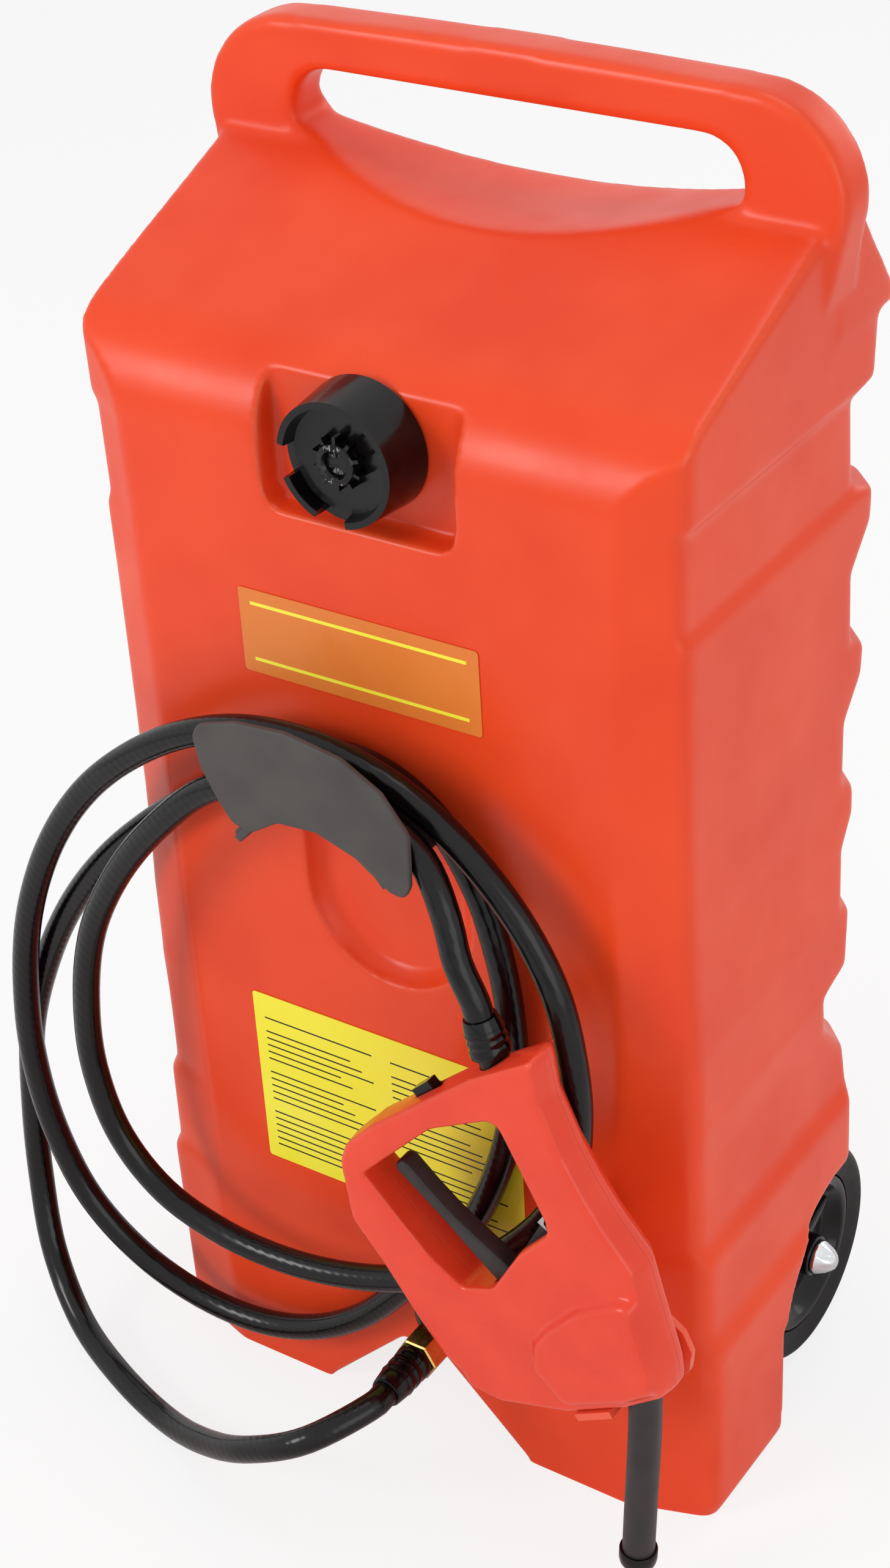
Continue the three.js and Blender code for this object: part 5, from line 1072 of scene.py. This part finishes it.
class TANK_OT_stage(bpy.types.Operator):
    """Makes the floor, the lights and the camera"""

    bl_idname = "fuel_tank.stage"
    bl_label = "Studio"

    def execute(self, context):
        scene = context.scene
        scene.view_settings.view_transform = "Standard"
        camera = bpy.data.objects.new("Camera", bpy.data.cameras.new("Camera"))
        scene.collection.objects.link(camera)
        scene.camera = camera
        camera.data.sensor_width = 36
        camera.data.lens = CAMERA_LENS
        camera.data.clip_end = 50
        camera.location = FROM_MM @ Vector(CAMERA_PLACE)
        camera.rotation_euler = [math.radians(a) for a in CAMERA_TURN]

        # The sky is white to the eye and in reflections, and dimmer as a light
        world = bpy.data.worlds.new("Studio")
        scene.world = world
        world.use_nodes = True
        world.node_tree.nodes.clear()
        path = add(world, "ShaderNodeLightPath")
        seen = add(world, "ShaderNodeMath", {"operation": "MAXIMUM"},
                   {0: path.outputs["Is Camera Ray"], 1: path.outputs["Is Glossy Ray"]})
        strength = add(world, "ShaderNodeMapRange", {"To Min": 0.62, "To Max": 1.0},
                       {"Value": seen.outputs[0]})
        sky = add(world, "ShaderNodeBackground", {"Color": WHITE},
                  {"Strength": strength.outputs["Result"]})
        add(world, "ShaderNodeOutputWorld", None, {"Surface": sky.outputs[0]})

        for name, place, aim, size, power in LAMPS:
            lamp = bpy.data.lights.new(name, "AREA")
            lamp.size = size
            lamp.energy = power
            obj = bpy.data.objects.new(name, lamp)
            obj.location = place
            obj.rotation_euler = (Vector(aim) - Vector(place)).to_track_quat("-Z", "Y").to_euler()
            scene.collection.objects.link(obj)

        bm = bmesh.new()
        bmesh.ops.create_grid(bm, x_segments=2, y_segments=2, size=20.0)
        floor = loose("Floor", bm)
        # Matt paint that takes the object's shadow; to the camera it is mostly white
        material = blank_material("Painted studio floor, pale")
        path = add(material, "ShaderNodeLightPath")
        colour = tuple(context.scene.tank_colours.floor) + (1,)
        paint = add(material, "ShaderNodeBsdfDiffuse", {"Color": colour})
        white = add(material, "ShaderNodeEmission", {"Color": WHITE, "Strength": 1.0})
        mixed = add(material, "ShaderNodeMixShader", {0: 0.8},
                    {1: paint.outputs[0], 2: white.outputs[0]})
        camera_only = add(material, "ShaderNodeMixShader", None, {
            0: path.outputs["Is Camera Ray"], 1: paint.outputs[0], 2: mixed.outputs[0]})
        add(material, "ShaderNodeOutputMaterial", None, {"Surface": camera_only.outputs[0]})
        floor.data.materials.append(material)
        return {"FINISHED"}


class TANK_OT_materials(bpy.types.Operator):
    """Makes the finishes that all pieces share"""

    bl_idname = "fuel_tank.materials"
    bl_label = "Finishes"

    def execute(self, context):
        make_materials(context.scene.tank_colours)
        return {"FINISHED"}


class TANK_OT_tank(bpy.types.Operator):
    """Makes the blow-moulded tank with its neck, thread and inner skin"""

    bl_idname = "fuel_tank.tank"
    bl_label = "Tank"

    def execute(self, context):
        sizes = context.scene.tank_sizes
        tank = tank_form(0)
        web = [(AXLE_Y - WEB_RADIUS, WEB_TOP), *arc(AXLE_Y, AXLE_Z, WEB_RADIUS, 180, 360, 16),
               (AXLE_Y + WEB_RADIUS, WEB_TOP)]
        webs = [loose("web", slab_side(web, x, x + WEB_THICK))
                for x in (-WELL_SIDE, WELL_SIDE - WEB_THICK)]
        gussets = [loose("gusset", gusset(hand)) for hand in (-1, 1)]
        combine(tank, [handle_form(), *gussets, *webs], "UNION")
        soften(tank, sizes.net / MM, sizes.softness, SOFT_ABOVE, SOFT_MORE)
        below = loose("below", box(-WIDE, WIDE, -20, BEHIND + 10, -20, 0))
        combine(tank, [below, tank_form(WALL)], "DIFFERENCE")
        neck = loose("neck", lathe(NECK_PROFILE, NECK, TO_FRONT, 72))
        ridge = loose("thread", thread(NECK, 31.2, 1.7, 4.75, THREAD_PITCH, 1.2))
        combine(neck, [ridge], "UNION")
        holes = [pin(NECK_BORE, NECK, TO_BACK, -12, 14, 72),
                 pin(AXLE_HOLE, (-150, AXLE_Y, AXLE_Z), (1, 0, 0), 0, 300),
                 pin(OUTLET_HOLE, on_outlet(0), TO_BACK, -PAST, 12)]
        combine(tank, [neck], "UNION")
        combine(tank, [loose("hole", hole) for hole in holes], "DIFFERENCE")
        finish_piece(tank, "tank", "tank", ["tank_shell"])
        return {"FINISHED"}


class TANK_OT_cap(bpy.types.Operator):
    """Makes the filler cap with its castellated rim and ribbed hub"""

    bl_idname = "fuel_tank.cap"
    bl_label = "Filler cap"

    def execute(self, context):
        x, y, z = NECK
        shell = loose("cap_shell", lathe(CAP_PROFILE, NECK, TO_FRONT, 96))
        notches = []
        for middle in CAP_NOTCHES:
            fan = arc(0, 0, 60, middle - NOTCH_HALF, middle + NOTCH_HALF, 6)
            wedge = [(x, z)] + [(x + u, z + v) for u, v in fan]
            notch = loose("notch", slab_front(wedge, y - 45, y - 23))
            core = loose("core", pin(NOTCH_RADIUS, (x, y - 50, z), TO_BACK, 0, 40, 96))
            combine(notch, [core], "DIFFERENCE")
            notches.append(notch)
        combine(shell, notches, "DIFFERENCE")
        round_edges(shell, 0.9, 3, 32)
        ridge = loose("thread", thread(NECK, 34.5, 1.5, 8.75, THREAD_PITCH, 0.8))
        combine(shell, [ridge], "UNION")
        finish_piece(shell, "black", "cap", ["cap_body"])
        hub = loose("cap_hub_core", lathe(HUB_PROFILE, NECK, TO_FRONT, 64))
        ribs = []
        for k in range(HUB_RIBS):
            rib = loose("rib", box(-1.1, 1.1, y - 31.4, y - 25.1, 11, 16))
            turn = Matrix.Rotation(math.radians(360 / HUB_RIBS * k), 4, "Y")
            rib.data.transform(Matrix.Translation((x, 0, z)) @ turn)
            ribs.append(rib)
        combine(hub, ribs, "UNION")
        round_edges(hub, 0.4, 2, 40)
        finish_piece(hub, "black", "cap", ["cap_hub"])
        return {"FINISHED"}


class TANK_OT_front(bpy.types.Operator):
    """Makes the stickers and the hose hanger on the tank's front"""

    bl_idname = "fuel_tank.front"
    bl_label = "Front fittings"

    def execute(self, context):
        for node, film, slot, x, z, width, height, rules in STICKERS:
            left, low = x - width / 2, z - height / 2
            right, high = x + width / 2, z + height / 2
            sheet = rounded([(left, low), (right, low), (right, high), (left, high)], 2.5, 4)
            finish_piece(loose(node + "_film", slab_front(sheet, STICKER_FACE, STICKER_BACK)),
                         film, "tank", [node])
            ink, ink_slot, bars = rules
            bm = bmesh.new()
            for u, v, long, thick in bars:
                a, b, c, d = left + u, left + u + long, low + v, low + v + thick
                skin(bm, [[(x, y, z) for x, z in ((a, c), (b, c), (b, d), (a, d))]
                          for y in (STICKER_FACE - INK, STICKER_FACE)])
            finish_piece(loose(node + "_rules", bm), ink, "tank", [])

        crescent = [(CRESCENT_LEFT + CRESCENT_WIDTH * u, CRESCENT_LOW + CRESCENT_HEIGHT * v)
                    for u, v in HANGER_SHARES]
        plate = loose("hanger", slab_front(rounded(crescent[::-1], 10, 5), -61.5, -57))
        round_edges(plate, 1.4, 3, 60)
        # Saddle, flange on the tank and lip behind the plate: radii, half angle and depths
        pieces = []
        for outer, inner, half, front, back in (
            (HANGER_RADIUS, HANGER_RADIUS - 5, 55, -59, -0.3),
            (HANGER_RADIUS - 2, HANGER_RADIUS - 22, 55, -4.3, -0.3),
            (HANGER_RADIUS + 2, HANGER_RADIUS - 2, 54, -57.5, -54),
        ):
            outline = [*arc(HANGER_X, HANGER_Z, outer, 90 - half, 90 + half, 40),
                       *arc(HANGER_X, HANGER_Z, inner, 90 + half, 90 - half, 40)]
            part = loose("part", slab_front(outline, front, back))
            pieces.append(round_edges(part, 0.8, 2, 60))
        combine(plate, pieces, "UNION")
        holes = [pin(2.35, (HANGER_X + u, 0, HANGER_Z + v), TO_BACK, -8, 6)
                 for u, v in arc(0, 0, 54, 52, 128, 2)]
        combine(plate, [loose("hole", hole) for hole in holes], "DIFFERENCE")
        finish_piece(plate, "hanger", "tank", ["hose_hanger"])
        return {"FINISHED"}


class TANK_OT_wheels(bpy.types.Operator):
    """Makes both wheels"""

    bl_idname = "fuel_tank.wheels"
    bl_label = "Wheels"

    def execute(self, context):
        for side, hand in (("left", -1), ("right", 1)):
            point, axis = (hand * WHEEL_X, AXLE_Y, AXLE_Z), (hand, 0, 0)
            finish_piece(loose(side + "_tread", lathe(tyre_profile(), point, axis, 128)),
                         "rubber", side + "_wheel", [side + "_tyre"], 32)
            hub = loose(side + "_rim", lathe(RIM_PROFILE, point, axis, 96))
            round_edges(hub, 1.2, 3, 25)
            ends = [hand * (WHEEL_X + reach) for reach in (SPOKE_INNER, SPOKE_OUTER)]
            spokes = []
            for k in range(SPOKES):
                spoke = loose("spoke", prism(SPOKE, lambda p, end: (ends[end], p[0], p[1])))
                turn = Matrix.Rotation(math.radians(360 / SPOKES * k), 4, "X")
                spoke.data.transform(Matrix.Translation((0, AXLE_Y, AXLE_Z)) @ turn)
                spokes.append(round_edges(spoke, 1.6, 3, 40))
            combine(hub, spokes, "UNION")
            finish_piece(hub, "black", side + "_wheel", [side + "_hub"], 40)
            cap = flute(lathe(END_CAP_PROFILE, point, axis, 96))
            finish_piece(loose(side + "_end_cap", cap), "chrome", "tank",
                         [side + "_push_cap"], 40)
        return {"FINISHED"}


class TANK_OT_nozzle(bpy.types.Operator):
    """Makes the nozzle's two shells"""

    bl_idname = "fuel_tank.nozzle"
    bl_label = "Nozzle shells"

    def execute(self, context):
        whole = nozzle_form(context.scene.tank_sizes.shell_net / MM, SHELL_ROUNDS)
        for node, near, far in (("nozzle_front_shell", -120, NOZZLE_Y - GAP / 2),
                                ("nozzle_back_shell", NOZZLE_Y + GAP / 2, -20)):
            shell = bpy.data.objects.new(node + "_skin", whole.data.copy())
            context.scene.collection.objects.link(shell)
            combine(shell, [loose("half", box(-20, 260, near, far, 100, 430))], "INTERSECT")
            combine(shell, nozzle_cuts(node == "nozzle_front_shell"), "DIFFERENCE")
            finish_piece(shell, "pump", "tank", [node], 40)
        mesh = whole.data
        bpy.data.objects.remove(whole)
        bpy.data.meshes.remove(mesh)
        return {"FINISHED"}


class TANK_OT_trigger(bpy.types.Operator):
    """Makes the trigger with its curved blade"""

    bl_idname = "fuel_tank.trigger"
    bl_label = "Trigger"

    def execute(self, context):
        blade = loose("blade", slab_nozzle(blade_outline(), TRIGGER_HALF))
        round_edges(blade, 2.4, 4, 60)
        arm = loose("arm", slab_nozzle(bar(PIVOT, ARM_END, TRIGGER_HUB, 5), 3.4))
        arm_pin = loose("arm_pin", pin(3, at_nozzle(ARM_END), TO_BACK, -7.6, 7.6))
        combine(blade, [arm, arm_pin], "UNION")
        # The pin's bore, and the spring's seat in the blade's back
        middle = at_nozzle(PIVOT)
        combine(blade, [loose("bore", pin(3.35, middle, TO_BACK, -18, 18)),
                        loose("seat", pin(7, middle, TO_BACK, 3.4, 13))], "DIFFERENCE")
        finish_piece(blade, "trigger", "trigger", ["trigger"], 40)
        return {"FINISHED"}


class TANK_OT_spout(bpy.types.Operator):
    """Makes the bent spout with its ring"""

    bl_idname = "fuel_tank.spout"
    bl_label = "Spout"

    def execute(self, context):
        aim = along(SPOUT_ROOT, SPOUT_BEND)
        root, bend, tip = (at_nozzle(place) for place in (SPOUT_ROOT, SPOUT_BEND, SPOUT_TIP))
        line = smooth_path([root - aim * GAP, root + aim * 5, bend, (bend + tip) / 2, tip], 5)
        outer = sweep_rings(line, SPOUT_RADIUS, 48)
        inner = sweep_rings(line, SPOUT_BORE, 48)
        spout = loose("spout_pipe", skin(bmesh.new(), outer + inner[::-1], closed=True))
        finish_piece(spout, "trigger", "tank", ["spout"], 40)
        heading = (tip - (bend + tip) / 2).normalized()
        ring = lathe(TIP_RING_PROFILE, tip, heading, 64)
        finish_piece(loose("spout_end", ring), "black", "tank",
                     ["spout_tip_ring"], 40)
        return {"FINISHED"}


class TANK_OT_outlet(bpy.types.Operator):
    """Makes the flanged outlet in the front wall"""

    bl_idname = "fuel_tank.outlet"
    bl_label = "Outlet"

    def execute(self, context):
        fitting = lathe(OUTLET_PROFILE, on_outlet(0), TO_FRONT, 72)
        finish_piece(loose("outlet_flange", fitting), "black", "tank",
                     ["outlet_fitting"], 30)
        return {"FINISHED"}


class TANK_OT_hose(bpy.types.Operator):
    """Makes the hose with its cuffs and the brass coupling"""

    bl_idname = "fuel_tank.hose"
    bl_label = "Hose"

    def execute(self, context):
        line = hose_line()
        bm = sweep(line, lambda share: HOSE_DIAMETER / 2, context.scene.tank_sizes.hose_sides)
        hose = finish_piece(loose("delivery_hose", bm), "hose", "tank", ["hose"])
        for name, node, point, aim, length in (
            ("inlet_cuff", "hose_inlet_cuff", on_inlet(INLET_STUB + GAP), INLET_AIM, INLET_CUFF),
            ("outlet_cuff", "hose_outlet_cuff", on_outlet(OUTLET_CUFF_START), TO_FRONT,
             OUTLET_CUFF),
        ):
            cuff = loose(name, lathe(cuff_profile(length), point, aim))
            finish_piece(cuff, "black", "tank", [node])
        blank = hexagon(COUPLING_ACROSS, 0, COUPLING_LENGTH, on_outlet(COUPLING_START), TO_FRONT)
        coupling = finish_piece(loose("coupling_nut", blank), "brass", "tank",
                                ["brass_coupling"], 25)
        path = [FROM_MM @ p for p in line]
        length = sum((b - a).length for a, b in zip(path, path[1:]))
        return {"FINISHED"}


class TANK_OT_carried(bpy.types.Operator):
    """Gives the CAD nodes that stay their finishes"""

    bl_idname = "fuel_tank.carried"
    bl_label = "Carried-over pieces"

    def execute(self, context):
        for name, material, bevel in CARRIED:
            dress(name, material, bevel)
        return {"FINISHED"}


class TANK_PT_panel(bpy.types.Panel):
    """Lists the makers of the tank's pieces"""

    bl_label = "Fuel Tank"
    bl_idname = "TANK_PT_panel"
    bl_space_type = "VIEW_3D"
    bl_region_type = "UI"
    bl_category = "Fuel Tank"

    def draw(self, context):
        for group in (context.scene.tank_sizes, context.scene.tank_colours):
            for key in group.bl_rna.properties.keys():
                if key not in ("rna_type", "name"):
                    self.layout.prop(group, key)
        for operator in OPERATORS:
            self.layout.operator(operator.bl_idname)


OPERATORS = (TANK_OT_stage, TANK_OT_materials, TANK_OT_tank, TANK_OT_cap, TANK_OT_front,
             TANK_OT_wheels, TANK_OT_nozzle, TANK_OT_trigger, TANK_OT_spout, TANK_OT_outlet,
             TANK_OT_hose, TANK_OT_carried)
CLASSES = (TankColours, TankSizes, *OPERATORS, TANK_PT_panel)


def register():
    for cls in CLASSES:
        bpy.utils.register_class(cls)
    bpy.types.Scene.tank_colours = PointerProperty(type=TankColours)
    bpy.types.Scene.tank_sizes = PointerProperty(type=TankSizes)


def unregister():
    del bpy.types.Scene.tank_sizes
    del bpy.types.Scene.tank_colours
    for cls in reversed(CLASSES):
        bpy.utils.unregister_class(cls)


def main():
    register()
    for operator in OPERATORS:
        group, name = operator.bl_idname.split(".")
        getattr(getattr(bpy.ops, group), name)()


if __name__ == "__main__":
    main()
